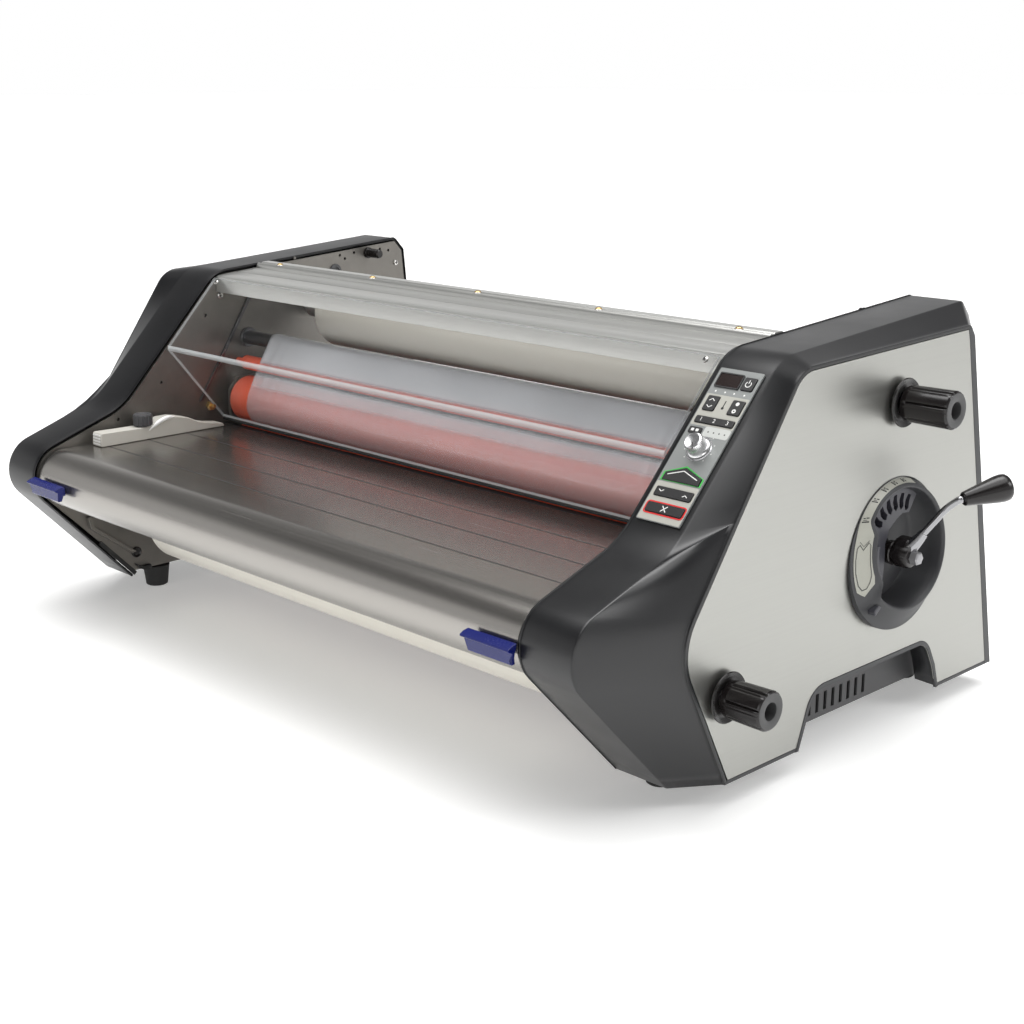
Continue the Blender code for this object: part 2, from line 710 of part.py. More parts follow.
# ---------------------------------------------------------------- controls
def on_slope(x, down, height):
    """A place on the control slope: across, down the slope from its upper end, and out of it."""
    y = SLOPE_TOP[0] - down * math.cos(SLOPE_ANGLE) - height * math.sin(SLOPE_ANGLE)
    z = SLOPE_TOP[1] - down * math.sin(SLOPE_ANGLE) + height * math.cos(SLOPE_ANGLE)
    return (x, y, z)


def slope_box(name, x_low, x_high, start, end, low, high, slot="dark_grey", bevel=0.0):
    centre = on_slope((x_low + x_high) / 2, (start + end) / 2, (low + high) / 2)
    half = ((x_high - x_low) / 2, (end - start) / 2, (high - low) / 2)
    corners = [[middle + sign * reach for middle, reach in zip(centre, half)] for sign in (-1.0, 1.0)]
    return box(name, *corners, slot, bevel, (SLOPE_ANGLE, 0.0, 0.0))


KEYS = {  # name: (x low, x high, start, end) on the slope
    "power_key": (396.0, 407.5, 2.5, 14.5),
    "temperature_key": (372.5, 383.0, 23.5, 37.5),
    "speed_step_key": (396.5, 407.5, 24.5, 38.5),
    "preset_key": (372.5, 407.5, 43.0, 49.0),
    "run_key": (372.5, 407.5, 93.0, 104.5),
    "reverse_key": (372.5, 407.5, 111.0, 119.5),
    "stop_key": (372.5, 407.5, 125.5, 133.5),
}
LABEL = (367.3, 410.8, -3.8, 141.4)


def controls():
    holes = [(low - 0.5, high + 0.5, start - 0.5, end + 0.5) for low, high, start, end in KEYS.values()]
    curve = bpy.data.curves.new("control_plate", "CURVE")
    curve.dimensions = "2D"
    curve.fill_mode = "BOTH"
    curve.extrude = mm(0.75)
    for low, high, start, end in [LABEL] + holes:
        spline = curve.splines.new("POLY")
        spline.points.add(3)
        spline.use_cyclic_u = True
        corners = ((low, start), (high, start), (high, end), (low, end))
        for point, (x, down) in zip(spline.points, corners):
            point.co = (mm(x), mm(-down), 0.0, 1.0)
    add("control_plate", curve, "black_plastic", on_slope(0.0, 0.0, 1.1), (SLOPE_ANGLE, 0.0, 0.0))
    for name, (low, high, start, end) in KEYS.items():
        slope_box(name, low, high, start, end, -2.0, 2.9, "dark_grey", 0.6)
    slope_box("display_window", 372.5, 393.5, 1.0, 14.0, 2.2, 3.0, "dark_grey")
    profile = [(14.0, 0.0), (14.0, 7.0), (13.0, 8.0), (4.0, 8.6), (3.0, 9.6), (2.2, 9.6), (2.2, 0.0)]
    dial = turned("speed_knob", profile, (0.0, 0.0), "silver_plastic", 20, False)
    dial.location = [mm(value) for value in on_slope(389.5, 72.0, 0.0)]
    dial.rotation_euler = (SLOPE_ANGLE, 0.0, 0.0)


casing()
heat_and_pull_rollers()
carriers()
belt_and_motor()
supplies()
idlers()
film_web()
crank()
feed_table()
paper_guide()
latches()
shield()
controls()
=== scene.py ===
"""Looks of the bench-top roll laminator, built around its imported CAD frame.

Sizes are in millimetres in the machine's own gauge: x from the middle of the body along
the rollers, y towards the rear, z from the lower edge of the end covers. GAUGE places that
gauge in the frame, from the crank's axis and the two side plates. Each piece rides on the
CAD body that it belongs to, and stands for the plain CAD nodes that it replaces.
"""

import json
import math

import bmesh
import bpy
from mathutils import Matrix, Vector


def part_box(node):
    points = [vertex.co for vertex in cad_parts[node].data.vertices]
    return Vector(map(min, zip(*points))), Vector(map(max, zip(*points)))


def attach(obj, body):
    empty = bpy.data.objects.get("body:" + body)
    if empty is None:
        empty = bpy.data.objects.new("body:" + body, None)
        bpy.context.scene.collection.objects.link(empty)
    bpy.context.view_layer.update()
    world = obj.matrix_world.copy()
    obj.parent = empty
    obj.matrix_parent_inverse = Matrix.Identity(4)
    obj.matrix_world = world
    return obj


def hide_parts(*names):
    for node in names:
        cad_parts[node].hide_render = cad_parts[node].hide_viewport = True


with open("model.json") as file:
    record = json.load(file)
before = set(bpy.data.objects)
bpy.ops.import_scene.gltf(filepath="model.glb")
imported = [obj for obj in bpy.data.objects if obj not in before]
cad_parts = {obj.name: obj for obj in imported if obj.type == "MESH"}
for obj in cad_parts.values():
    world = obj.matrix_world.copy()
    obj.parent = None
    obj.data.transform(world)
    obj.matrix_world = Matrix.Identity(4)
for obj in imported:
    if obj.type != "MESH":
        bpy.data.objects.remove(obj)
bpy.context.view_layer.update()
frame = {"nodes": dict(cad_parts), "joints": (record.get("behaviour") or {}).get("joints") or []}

# ---------------------------------------------------------------- gauge and driving dimensions, mm
CRANK = (95.0, 146.0)
UPPER_SUPPLY = (93.0, 277.0)
LOWER_SUPPLY = (-131.0, 77.0)
HEAT_Y, PULL_Y = -12.0, 135.0
UPPER_Z, LOWER_Z = 184.0, 132.0
ROLLER_R = 25.5
IDLER = (5.0, 249.5)
GUIDE_ROLLER = (-9.0, 224.0)
COVER_INNER_X = 360.5
BAND_EDGE_X = 416.0
FLANK_END_X = 442.2
PANEL_X = 444.4
PLATE_X = (361.0, 364.0)
TABLE_Z = 158.0
TABLE_HALF = 356.5
NOSE_CENTRE = (-238.0, 128.0)
NOSE_R = 30.0
GROOVE_Y = (-197.5, -149.5, -101.5)
SLOPE_TOP = (-51.1, 310.0)
SLOPE_ANGLE = math.radians(46.48)
PIVOT = next(Vector(joint["pos_m"]) for joint in frame["joints"] if joint["name"] == "pressure_crank")
MIDDLE_X = (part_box("side_plate_left")[0].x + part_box("side_plate_right")[1].x) / 2
GAUGE = Vector((MIDDLE_X, PIVOT.y - CRANK[0] / 1000, PIVOT.z - CRANK[1] / 1000))

# End cover outlines in the YZ plane: (y, z, corner radius), front bottom to rear bottom.
BAND_CORNERS = [
    (-162.5, 0.0, 0.0),
    (-300.0, 144.2, 35.6),
    (-162.8, 192.4, 80.0),
    (-35.5, 326.5, 45.0),
    (227.4, 345.8, 6.0),
    (240.5, 331.5, 5.0),
    (275.0, 0.0, 0.0),
]
PANEL_CORNERS = [
    (-125.0, 0.0, 0.0),
    (-187.0, 124.0, 50.0),
    (-124.0, 213.5, 120.0),
    (-47.0, 322.5, 32.0),
    (197.0, 330.4, 5.0),
    (205.0, 320.0, 4.0),
    (275.9, 0.0, 0.0),
]
# The arched hand cut-out, from its rear foot to its front foot.
ARCH_CORNERS = [
    (184.0, 0.0, 0.0),
    (176.0, 24.0, 30.0),
    (160.0, 52.5, 24.0),
    (-14.0, 52.0, 26.0),
    (-33.0, 0.0, 0.0),
]
# The small punched holes of a side plate: (y, z).
PUNCHED = [
    (75.7, 333.0), (141.6, 331.1), (149.0, 326.6), (163.0, 332.7), (203.1, 334.0), (216.1, 331.5),
    (-111.7, 211.8), (-50.1, 279.4), (-167.8, 178.6), (18.0, 296.0), (113.7, 315.0), (60.0, 305.0),
]
# The clear film's share of opacity at heights between FILM_LOW and FILM_HIGH: (z, alpha); these bands are
# painted sheen, paler where the film catches light.
FILM_LOW, FILM_HIGH = 190.0, 260.0
FILM_SHEEN_BANDS = [(203.0, 0.22), (207.0, 0.42), (216.0, 0.46), (219.0, 0.16), (228.0, 0.16), (232.0, 0.68)]
SIDES = (("left", -1.0), ("right", 1.0))
WHITE_LIGHT = (1.0, 1.0, 1.0, 1.0)


def mm(value):
    return value * 0.001


class Plane:
    """A drawing plane in the machine gauge: u runs along right, v along up and w out of it."""

    def __init__(self, origin, right, up):
        self.origin = Vector(origin)
        self.right = Vector(right).normalized()
        self.up = Vector(up).normalized()
        self.out = self.right.cross(self.up)

    def at(self, u, v, w=0.0):
        place = self.origin + self.right * u + self.up * v + self.out * w
        return GAUGE + place * 0.001


SIDE = Plane((0, 0, 0), (0, 1, 0), (0, 0, 1))  # u = y, v = z, w = x
FLAT = Plane((0, 0, 0), (1, 0, 0), (0, 1, 0))  # u = x, v = y, w = z
SLOPE = Plane((0, *SLOPE_TOP), (1, 0, 0), (0, math.cos(SLOPE_ANGLE), math.sin(SLOPE_ANGLE)))
DIAL = Plane((PANEL_X, *CRANK), (0, 1, 0), (0, 0, 1))


# ---------------------------------------------------------------- materials
def shader_of(material):
    return material.node_tree.nodes["Principled BSDF"]


def add_node(nodes, kind, values=None, operation=None):
    """A new shader node with its inputs' values, by socket name or number."""
    node = nodes.new("ShaderNode" + kind)
    if operation:
        node.operation = operation
    for socket, value in (values or {}).items():
        node.inputs[socket].default_value = value
    return node


def grey_ramp(nodes, first, last, stops):
    """A ramp of greys between its two ends, through (place, grey) stops."""
    ramp = add_node(nodes, "ValToRGB")
    elements = ramp.color_ramp.elements
    elements[0].color = (first, first, first, 1.0)
    elements[1].color = (last, last, last, 1.0)
    for place, grey in stops:
        elements.new(place).color = (grey, grey, grey, 1.0)
    return ramp


def look(
    name, colour, roughness, metallic=0.0, drift=0.05, drift_size=60.0, grain=0.0,
    grain_size=0.5, gloss_drift=0.05, stretch=(1.0, 1.0, 1.0), sockets=None,
):
    """A Principled surface with slow colour drift, uneven gloss and a fine relief.

    drift_size and grain_size are the pattern's sizes in mm; stretch lengthens it along an axis.
    grain is the height of the relief in mm.
    """
    slow_share = 0.7
    material = bpy.data.materials.new(name)
    material.use_nodes = True
    nodes, links = material.node_tree.nodes, material.node_tree.links
    shader = shader_of(material)
    for socket, value in {"Metallic": metallic, **(sockets or {})}.items():
        shader.inputs[socket].default_value = value
    coordinates = add_node(nodes, "TexCoord")
    mapping = add_node(nodes, "Mapping", {"Scale": [1.0 / value for value in stretch]})
    links.new(coordinates.outputs["Object"], mapping.inputs["Vector"])

    def noise(size, detail):
        pattern = add_node(nodes, "TexNoise", {"Scale": 1000.0 / size, "Detail": detail})
        links.new(mapping.outputs["Vector"], pattern.inputs["Vector"])
        return pattern.outputs["Fac"]

    def spread(source, low, high):
        limits = {"From Min": 0.25, "From Max": 0.75, "To Min": low, "To Max": high}
        ranged = add_node(nodes, "MapRange", limits)
        links.new(source, ranged.inputs["Value"])
        return ranged.outputs["Result"]

    slow, fine = noise(drift_size, 3.0), noise(grain_size, 2.0)
    shade = nodes.new("ShaderNodeMix")
    shade.data_type = "RGBA"
    shade.inputs["A"].default_value = (*[value * (1 - drift) for value in colour], 1.0)
    shade.inputs["B"].default_value = (*[min(value * (1 + drift), 1.0) for value in colour], 1.0)
    blend = add_node(nodes, "Math", {1: slow_share}, "MULTIPLY_ADD")
    fine_part = add_node(nodes, "Math", {1: 1.0 - slow_share}, "MULTIPLY")
    links.new(slow, blend.inputs[0])
    links.new(fine, fine_part.inputs[0])
    links.new(fine_part.outputs[0], blend.inputs[2])
    links.new(spread(blend.outputs[0], 0.0, 1.0), shade.inputs["Factor"])
    links.new(shade.outputs["Result"], shader.inputs["Base Color"])
    low, high = max(roughness - gloss_drift, 0.02), min(roughness + gloss_drift, 1.0)
    links.new(spread(blend.outputs[0], low, high), shader.inputs["Roughness"])
    if grain:
        relief = add_node(nodes, "Bump", {"Strength": 1.0, "Distance": mm(grain)})
        links.new(fine, relief.inputs["Height"])
        links.new(relief.outputs["Normal"], shader.inputs["Normal"])
    return material


def grazing_alpha(material, floor, ceiling):
    """A clear sheet: nearly see-through face on, more mirror-like at a grazing angle."""
    nodes, links = material.node_tree.nodes, material.node_tree.links
    weight = add_node(nodes, "LayerWeight", {"Blend": 0.5})
    steep = add_node(nodes, "Math", {1: 4.0}, "POWER")
    ranged = add_node(nodes, "MapRange", {"To Min": floor, "To Max": ceiling})
    links.new(weight.outputs["Facing"], steep.inputs[0])
    links.new(steep.outputs[0], ranged.inputs["Value"])
    links.new(ranged.outputs["Result"], shader_of(material).inputs["Alpha"])
    return material


def film_painted_sheen(material):
    """Painted sheen: the film's opacity changes in bands by height, so it shows pale over the idler, faint
    before the guide roller and clear on the hot roller.
    """
    nodes, links = material.node_tree.nodes, material.node_tree.links
    coordinates = next(node for node in nodes if node.type == "TEX_COORD")
    split = add_node(nodes, "SeparateXYZ")
    limits = {"From Min": SIDE.at(0.0, FILM_LOW).z, "From Max": SIDE.at(0.0, FILM_HIGH).z}
    ranged = add_node(nodes, "MapRange", limits)
    stops = [((height - FILM_LOW) / (FILM_HIGH - FILM_LOW), alpha) for height, alpha in FILM_SHEEN_BANDS]
    bands = grey_ramp(nodes, 0.22, 0.80, stops)
    links.new(coordinates.outputs["Object"], split.inputs["Vector"])
    links.new(split.outputs["Z"], ranged.inputs["Value"])
    links.new(ranged.outputs["Result"], bands.inputs["Fac"])
    links.new(bands.outputs["Color"], shader_of(material).inputs["Alpha"])
    return material


ALONG_X, ALONG_Y = (220.0, 1.0, 1.0), (1.0, 160.0, 1.0)
COVER = look("cover_plastic", (0.0035, 0.0036, 0.0046), 0.33, drift=0.10, grain=0.008, grain_size=0.7,
             sockets={"Specular IOR Level": 0.55})
SLATE = look("slate_plastic", (0.034, 0.034, 0.042), 0.42, drift=0.08, grain=0.008, grain_size=0.6)
RIM = look("rim_plastic", (0.022, 0.0225, 0.025), 0.46, drift=0.08, grain=0.008, grain_size=0.6)
CAP = look("cap_plastic", (0.040, 0.040, 0.041), 0.46, drift=0.06, grain=0.010, grain_size=0.6)
BRUSHED_Y = look("brushed_panel", (0.37, 0.37, 0.35), 0.38, 0.95, drift=0.045, drift_size=1.3,
                 grain=0.003, grain_size=0.4, gloss_drift=0.07, stretch=ALONG_Y)
BRUSHED_X = look("brushed_table", (0.34, 0.325, 0.305), 0.25, 0.95, drift=0.03, drift_size=1.8,
                 grain=0.0007, grain_size=0.5, gloss_drift=0.03, stretch=ALONG_X)
ALLOY = look("drawn_alloy", (0.52, 0.52, 0.50), 0.34, 0.85, drift=0.06, drift_size=1.5,
             grain=0.004, grain_size=0.4, gloss_drift=0.06, stretch=ALONG_X)
STEEL = look("bright_steel", (0.56, 0.55, 0.53), 0.25, 1.0, drift=0.05, gloss_drift=0.06)
SATIN = look("satin_bolt", (0.30, 0.30, 0.31), 0.38, 0.7, drift=0.1, gloss_drift=0.06)
DARK_STEEL = look("dark_steel", (0.13, 0.13, 0.135), 0.28, 0.9, drift=0.1, gloss_drift=0.08)
PLATE = look("plate_metal", (0.185, 0.175, 0.160), 0.40, 0.75, drift=0.10, drift_size=14.0,
             grain=0.004, grain_size=0.8, gloss_drift=0.06)
CHARCOAL = look("charcoal_paint", (0.050, 0.050, 0.052), 0.5, drift=0.08, grain=0.01, grain_size=0.5)
SILICONE = look("red_silicone", (0.78, 0.125, 0.065), 0.38, drift=0.07, drift_size=45.0, grain=0.006,
                grain_size=0.9, sockets={"Specular IOR Level": 0.55})
BLACK_RUBBER = look("black_rubber", (0.022, 0.022, 0.022), 0.75, drift=0.15, grain=0.02, grain_size=0.6)
NYLON = look("grey_nylon", (0.055, 0.055, 0.058), 0.5, drift=0.08, grain=0.008, grain_size=0.5)
GLOSS_BLACK = look("gloss_black", (0.0085, 0.0070, 0.0070), 0.22, drift=0.15, grain=0.003, grain_size=0.8,
                   sockets={"Specular IOR Level": 0.42})
CHROME = look("chrome_plate", (0.30, 0.30, 0.31), 0.10, 1.0, drift=0.02, gloss_drift=0.02)
BEIGE = look("beige_plastic", (0.50, 0.485, 0.44), 0.5, drift=0.04, grain=0.01, grain_size=0.6)
STRIP = look("label_strip", (0.50, 0.51, 0.49), 0.4, drift=0.03)
WHITE = look("white_plastic", (0.82, 0.82, 0.80), 0.32, drift=0.03, grain=0.004, grain_size=0.6)
WOUND_FILM = look("wound_film", (0.78, 0.75, 0.67), 0.36, drift=0.035, drift_size=40.0, grain=0.004,
                  grain_size=1.6, stretch=ALONG_X, sockets={"Coat Weight": 0.25, "Coat Roughness": 0.2})
CARDBOARD = look("core_card", (0.42, 0.31, 0.20), 0.8, drift=0.12, drift_size=6.0, grain=0.03,
                 grain_size=0.7)
BLUE = look("blue_plastic", (0.005, 0.010, 0.115), 0.26, drift=0.08, grain=0.003, grain_size=0.7,
            sockets={"Specular IOR Level": 0.45})
LABEL_GREY = look("label_grey", (0.235, 0.245, 0.24), 0.42, 0.35, drift=0.04, grain=0.003, grain_size=0.5)
LABEL_PALE = look("label_pale", (0.39, 0.385, 0.345), 0.40, drift=0.03, grain=0.003, grain_size=0.5)
DIAL_LABEL = look("dial_label", (0.30, 0.30, 0.26), 0.35, drift=0.06, drift_size=20.0)
INK = look("black_ink", (0.012, 0.012, 0.012), 0.5, drift=0.1)
MARK = look("white_mark", (0.75, 0.75, 0.73), 0.5, drift=0.03)
GREEN = look("green_mark", (0.05, 0.42, 0.07), 0.4, drift=0.05)
RED = look("red_mark", (0.62, 0.02, 0.02), 0.4, drift=0.05)
KEY = look("key_rubber", (0.012, 0.0115, 0.012), 0.40, drift=0.12, grain=0.006, grain_size=0.4)
GLASS = look("display_glass", (0.020, 0.013, 0.012), 0.10, drift=0.1, gloss_drift=0.02,
             sockets={"Coat Weight": 0.6, "Coat Roughness": 0.04})
SILVER = look("silver_knob", (0.70, 0.70, 0.71), 0.20, 0.9, drift=0.04, gloss_drift=0.04)
BRASS = look("brass_screw", (0.60, 0.42, 0.20), 0.28, 1.0, drift=0.1, gloss_drift=0.08)
ACRYLIC = grazing_alpha(look("clear_acrylic", (0.93, 0.95, 0.96), 0.04, 0.85, drift=0.01,
                             gloss_drift=0.02), 0.02, 0.14)
ACRYLIC_EDGE = look("acrylic_edge", (0.62, 0.65, 0.66), 0.25, drift=0.03, sockets={"Alpha": 0.5})
# Painted sheen: the clear film's opacity rises and falls in bands by height.
FILM = film_painted_sheen(look("clear_film", (0.86, 0.875, 0.91), 0.20, 0.25, drift=0.08, gloss_drift=0.08,
                       stretch=(3.0, 1.0, 1.0)))


# ---------------------------------------------------------------- building helpers
def finish_piece(piece, material, body, stands_for=()):
    if not piece.data.materials:
        piece.data.materials.append(material)
    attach(piece, body)
    if stands_for:
        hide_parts(*stands_for)
    return piece


def recoat(node, material):
    """Gives a CAD node that stays visible its better material."""
    piece = frame["nodes"][node]
    piece.data.materials.clear()
    piece.data.materials.append(material)


def from_bmesh(name, shape, smooth_angle=35.0):
    mesh = bpy.data.meshes.new(name)
    bmesh.ops.recalc_face_normals(shape, faces=shape.faces)
    shape.to_mesh(mesh)
    shape.free()
    mesh.shade_smooth()
    if smooth_angle:
        mesh.set_sharp_from_angle(angle=math.radians(smooth_angle))
    piece = bpy.data.objects.new(name, mesh)
    bpy.context.scene.collection.objects.link(piece)
    return piece


def round_edges(piece, width, segments=2, limit=40.0):
    change = piece.modifiers.new("rounded edges", "BEVEL")
    change.width = mm(width)
    change.segments = segments
    change.limit_method = "ANGLE"
    change.angle_limit = math.radians(limit)
    change.use_clamp_overlap = True
    change.harden_normals = True


def give_wall(piece, thickness, offset=0.0):
    wall = piece.modifiers.new("wall", "SOLIDIFY")
    wall.thickness = mm(thickness)
    wall.offset = offset


def drawn_mesh(name, curve, plane, place):
    """A flat curve's mesh, moved to a place (u, v, w) of a plane."""
    drawing = bpy.data.objects.new(name + "_drawing", curve)
    bpy.context.scene.collection.objects.link(drawing)
    bpy.context.view_layer.update()
    graph = bpy.context.evaluated_depsgraph_get()
    mesh = bpy.data.meshes.new_from_object(drawing.evaluated_get(graph))
    bpy.data.objects.remove(drawing, do_unlink=True)
    axes = Matrix((plane.right, plane.up, plane.out)).transposed().to_4x4()
    mesh.transform(Matrix.Translation(plane.at(*place)) @ axes)
    return mesh


def flat(name, plane, loops, low, high, material, body, bevel=0.0, stands_for=()):
    """An outline, with holes, on a plane, made solid between two heights over the plane."""
    curve = bpy.data.curves.new(name, "CURVE")
    curve.dimensions = "2D"
    curve.fill_mode = "BOTH"
    curve.extrude = mm(high - low) / 2
    for loop in loops:
        spline = curve.splines.new("POLY")
        spline.points.add(len(loop) - 1)
        spline.use_cyclic_u = True
        for point, (u, v) in zip(spline.points, loop):
            point.co = (mm(u), mm(v), 0.0, 1.0)
    mesh = drawn_mesh(name, curve, plane, (0.0, 0.0, (low + high) / 2))
    shape = bmesh.new()
    shape.from_mesh(mesh)
    bmesh.ops.remove_doubles(shape, verts=shape.verts, dist=1e-7)
    bmesh.ops.dissolve_limit(shape, angle_limit=0.01, verts=shape.verts, edges=shape.edges)
    bpy.data.meshes.remove(mesh)
    piece = from_bmesh(name, shape, 0.0 if bevel else 35.0)
    if bevel:
        round_edges(piece, bevel)
    return finish_piece(piece, material, body, stands_for)


def numeral(name, text, plane, centre, size, height, material, body):
    """A generic numeral standing a hair over a surface."""
    thin = 0.04
    curve = bpy.data.curves.new(name, "FONT")
    curve.body = text
    curve.size = mm(size)
    curve.align_x = "CENTER"
    curve.align_y = "CENTER"
    curve.extrude = mm(thin)
    mesh = drawn_mesh(name, curve, plane, (*centre, height + thin))
    piece = bpy.data.objects.new(name, mesh)
    bpy.context.scene.collection.objects.link(piece)
    finish_piece(piece, material, body)


def join_rings(shape, rings):
    """Faces between each ring of vertices and the next; a ring of one vertex is a pole."""
    for first, second in zip(rings, rings[1:]):
        steps = max(len(first), len(second))
        for step in range(steps):
            after = (step + 1) % steps
            if len(first) == 1:
                shape.faces.new((first[0], second[step], second[after]))
            elif len(second) == 1:
                shape.faces.new((first[step], first[after], second[0]))
            else:
                shape.faces.new((first[step], first[after], second[after], second[step]))


def turned(
    name, plane, centre, profile, material, body, steps=64, closed=False, ripple=None,
    stands_for=(), smooth_angle=35.0,
):
    """Turns a profile of (height along w, radius) points about the plane's normal at centre (u, v).

    ripple(angle, height, radius) may change the radius round the turn.
    """
    shape = bmesh.new()
    rings = []
    for along, radius in profile:
        if radius == 0.0:
            rings.append([shape.verts.new(plane.at(*centre, along))])
            continue
        ring = []
        for step in range(steps):
            angle = 2 * math.pi * step / steps
            reach = ripple(angle, along, radius) if ripple else radius
            u, v = centre[0] + reach * math.cos(angle), centre[1] + reach * math.sin(angle)
            ring.append(shape.verts.new(plane.at(u, v, along)))
        rings.append(ring)
    join_rings(shape, rings + rings[:1] if closed else rings)
    piece = from_bmesh(name, shape, smooth_angle)
    return finish_piece(piece, material, body, stands_for)


def directions(points):
    """The direction of a path at each of its points."""
    path = [Vector(point) for point in points]
    last = len(path) - 1
    return [(path[min(n + 1, last)] - path[max(n - 1, 0)]).normalized() for n in range(last + 1)]


def swept(name, points, radii, material, body, sides):
    """A round bar along points of the machine gauge, with a radius at each point."""
    shape = bmesh.new()
    rings = []
    side = None
    for point, along, radius in zip(points, directions(points), radii):
        side = along.orthogonal() if side is None else side - along * side.dot(along)
        side.normalize()
        other = along.cross(side)
        ring = []
        for step in range(sides):
            angle = 2 * math.pi * step / sides
            place = Vector(point) + (side * math.cos(angle) + other * math.sin(angle)) * radius
            ring.append(shape.verts.new(GAUGE + place * 0.001))
        rings.append(ring)
    join_rings(shape, rings)
    shape.faces.new(rings[0])
    shape.faces.new(rings[-1])
    finish_piece(from_bmesh(name, shape), material, body)


def curve_past(start, corner, end, steps):
    """Places on a curve that rounds a corner, from after its start to its end."""
    line = []
    for step in range(1, steps + 1):
        t = step / steps
        line.append(start * (1 - t) ** 2 + corner * 2 * t * (1 - t) + end * t * t)
    return line


def polar(radius, degrees):
    angle = math.radians(degrees)
    return (radius * math.cos(angle), radius * math.sin(angle))


def stroke(points, width):
    """The outline of a drawn line of even width."""
    sides = ([], [])
    for point, along in zip(points, directions(points)):
        offset = Vector((-along.y, along.x)) * width / 2
        sides[0].append(tuple(Vector(point) + offset))
        sides[1].append(tuple(Vector(point) - offset))
    return sides[0] + sides[1][::-1]


def both_ends(profile):
    """The profile of one end of a roller, followed by its mirror image for the other end."""
    return profile + [(-along, radius) for along, radius in reversed(profile)]


def ends_at(loop, height):
    """The outline with its first and last point moved to a height."""
    return [(loop[0][0], height)] + loop[1:-1] + [(loop[-1][0], height)]


def span(side, near, far):
    """The lower and upper x of a layer on one side of the machine."""
    return sorted((side * near, side * far))


def smooth_path(points, steps=6):
    """Catmull-Rom points through the given ones."""
    path = [Vector(point) for point in points]
    path = [path[0] * 2 - path[1]] + path + [path[-1] * 2 - path[-2]]
    result = []
    for p0, p1, p2, p3 in zip(path, path[1:], path[2:], path[3:]):
        for step in range(steps):
            t = step / steps
            result.append(
                0.5 * (2 * p1 + (p2 - p0) * t + (2 * p0 - 5 * p1 + 4 * p2 - p3) * t * t
                       + (3 * p1 - p0 - 3 * p2 + p3) * t * t * t)
            )
    result.append(path[-2])
    return result


def arc(centre, radius, start, end, steps):
    points = []
    for index in range(steps + 1):
        angle = math.radians(start + (end - start) * index / steps)
        points.append((centre[0] + radius * math.cos(angle), centre[1] + radius * math.sin(angle)))
    return points


def circle(centre, radius, steps=24):
    return arc(centre, radius, 0.0, 360.0 - 360.0 / steps, steps - 1)


def rounded_box(low, high, radius, steps=4):
    """The loop of a rectangle between two corners, with rounded corners."""
    (u0, v0), (u1, v1) = low, high
    loop = arc((u1 - radius, v0 + radius), radius, -90.0, 0.0, steps)
    loop += arc((u1 - radius, v1 - radius), radius, 0.0, 90.0, steps)
    loop += arc((u0 + radius, v1 - radius), radius, 90.0, 180.0, steps)
    return loop + arc((u0 + radius, v0 + radius), radius, 180.0, 270.0, steps)


def rounded(corners, steps=12, runs=8):
    """An open outline with its corners rounded and its straight runs divided evenly."""
    points = [corners[0][:2]]
    last = len(corners) - 1
    for index in range(1, len(corners)):
        y, z, radius = corners[index]
        here = Vector((y, z))
        if index == last:
            bend = [(y, z)]
        elif radius == 0.0:
            bend = [(y, z)] * (steps + 1)
        else:
            before = (Vector(corners[index - 1][:2]) - here).normalized()
            after = (Vector(corners[index + 1][:2]) - here).normalized()
            half = before.angle(after) / 2
            reach = radius / math.tan(half)
            start, end = here + before * reach, here + after * reach
            centre = here + (before + after).normalized() * (radius / math.sin(half))
            spoke = start - centre
            sweep = spoke.angle_signed(end - centre)
            bend = []
            for step in range(steps + 1):
                angle = -sweep * step / steps
                bend.append(
                    (
                        centre.x + spoke.x * math.cos(angle) - spoke.y * math.sin(angle),
                        centre.y + spoke.x * math.sin(angle) + spoke.y * math.cos(angle),
                    )
                )
        begin, finish = Vector(points[-1]), Vector(bend[0])
        for step in range(1, runs):
            points.append(tuple(begin.lerp(finish, step / runs)))
        points += bend
    return points


def shrunk(corners, distance, steps=12, runs=8):
    """The rounded outline moved inwards, towards the right of its run, by distance."""
    spots = [Vector(corner[:2]) for corner in corners]
    result = []
    for index, (here, corner) in enumerate(zip(spots, corners)):
        edges = []
        if index > 0:
            edges.append((here - spots[index - 1]).normalized())
        if index < len(spots) - 1:
            edges.append((spots[index + 1] - here).normalized())
        normals = [Vector((edge.y, -edge.x)) for edge in edges]
        mean = sum(normals, Vector((0.0, 0.0))).normalized()
        moved = here + mean * (distance / mean.dot(normals[0]))
        radius = corner[2]
        if radius:
            turns_left = edges[0].cross(edges[1]) > 0
            radius = radius + distance if turns_left else max(radius - distance, 0.6)
        result.append((moved.x, moved.y, radius))
    return rounded(result, steps, runs)


def grid_shape(shape, rows):
    """Faces between rows of equally many places in the machine gauge."""
    grid = []
    for row in rows:
        grid.append([shape.verts.new(GAUGE + Vector(place) * 0.001) for place in row])
    for near, far in zip(grid, grid[1:]):
        for index in range(len(near) - 1):
            shape.faces.new((near[index], near[index + 1], far[index + 1], far[index]))
    return grid


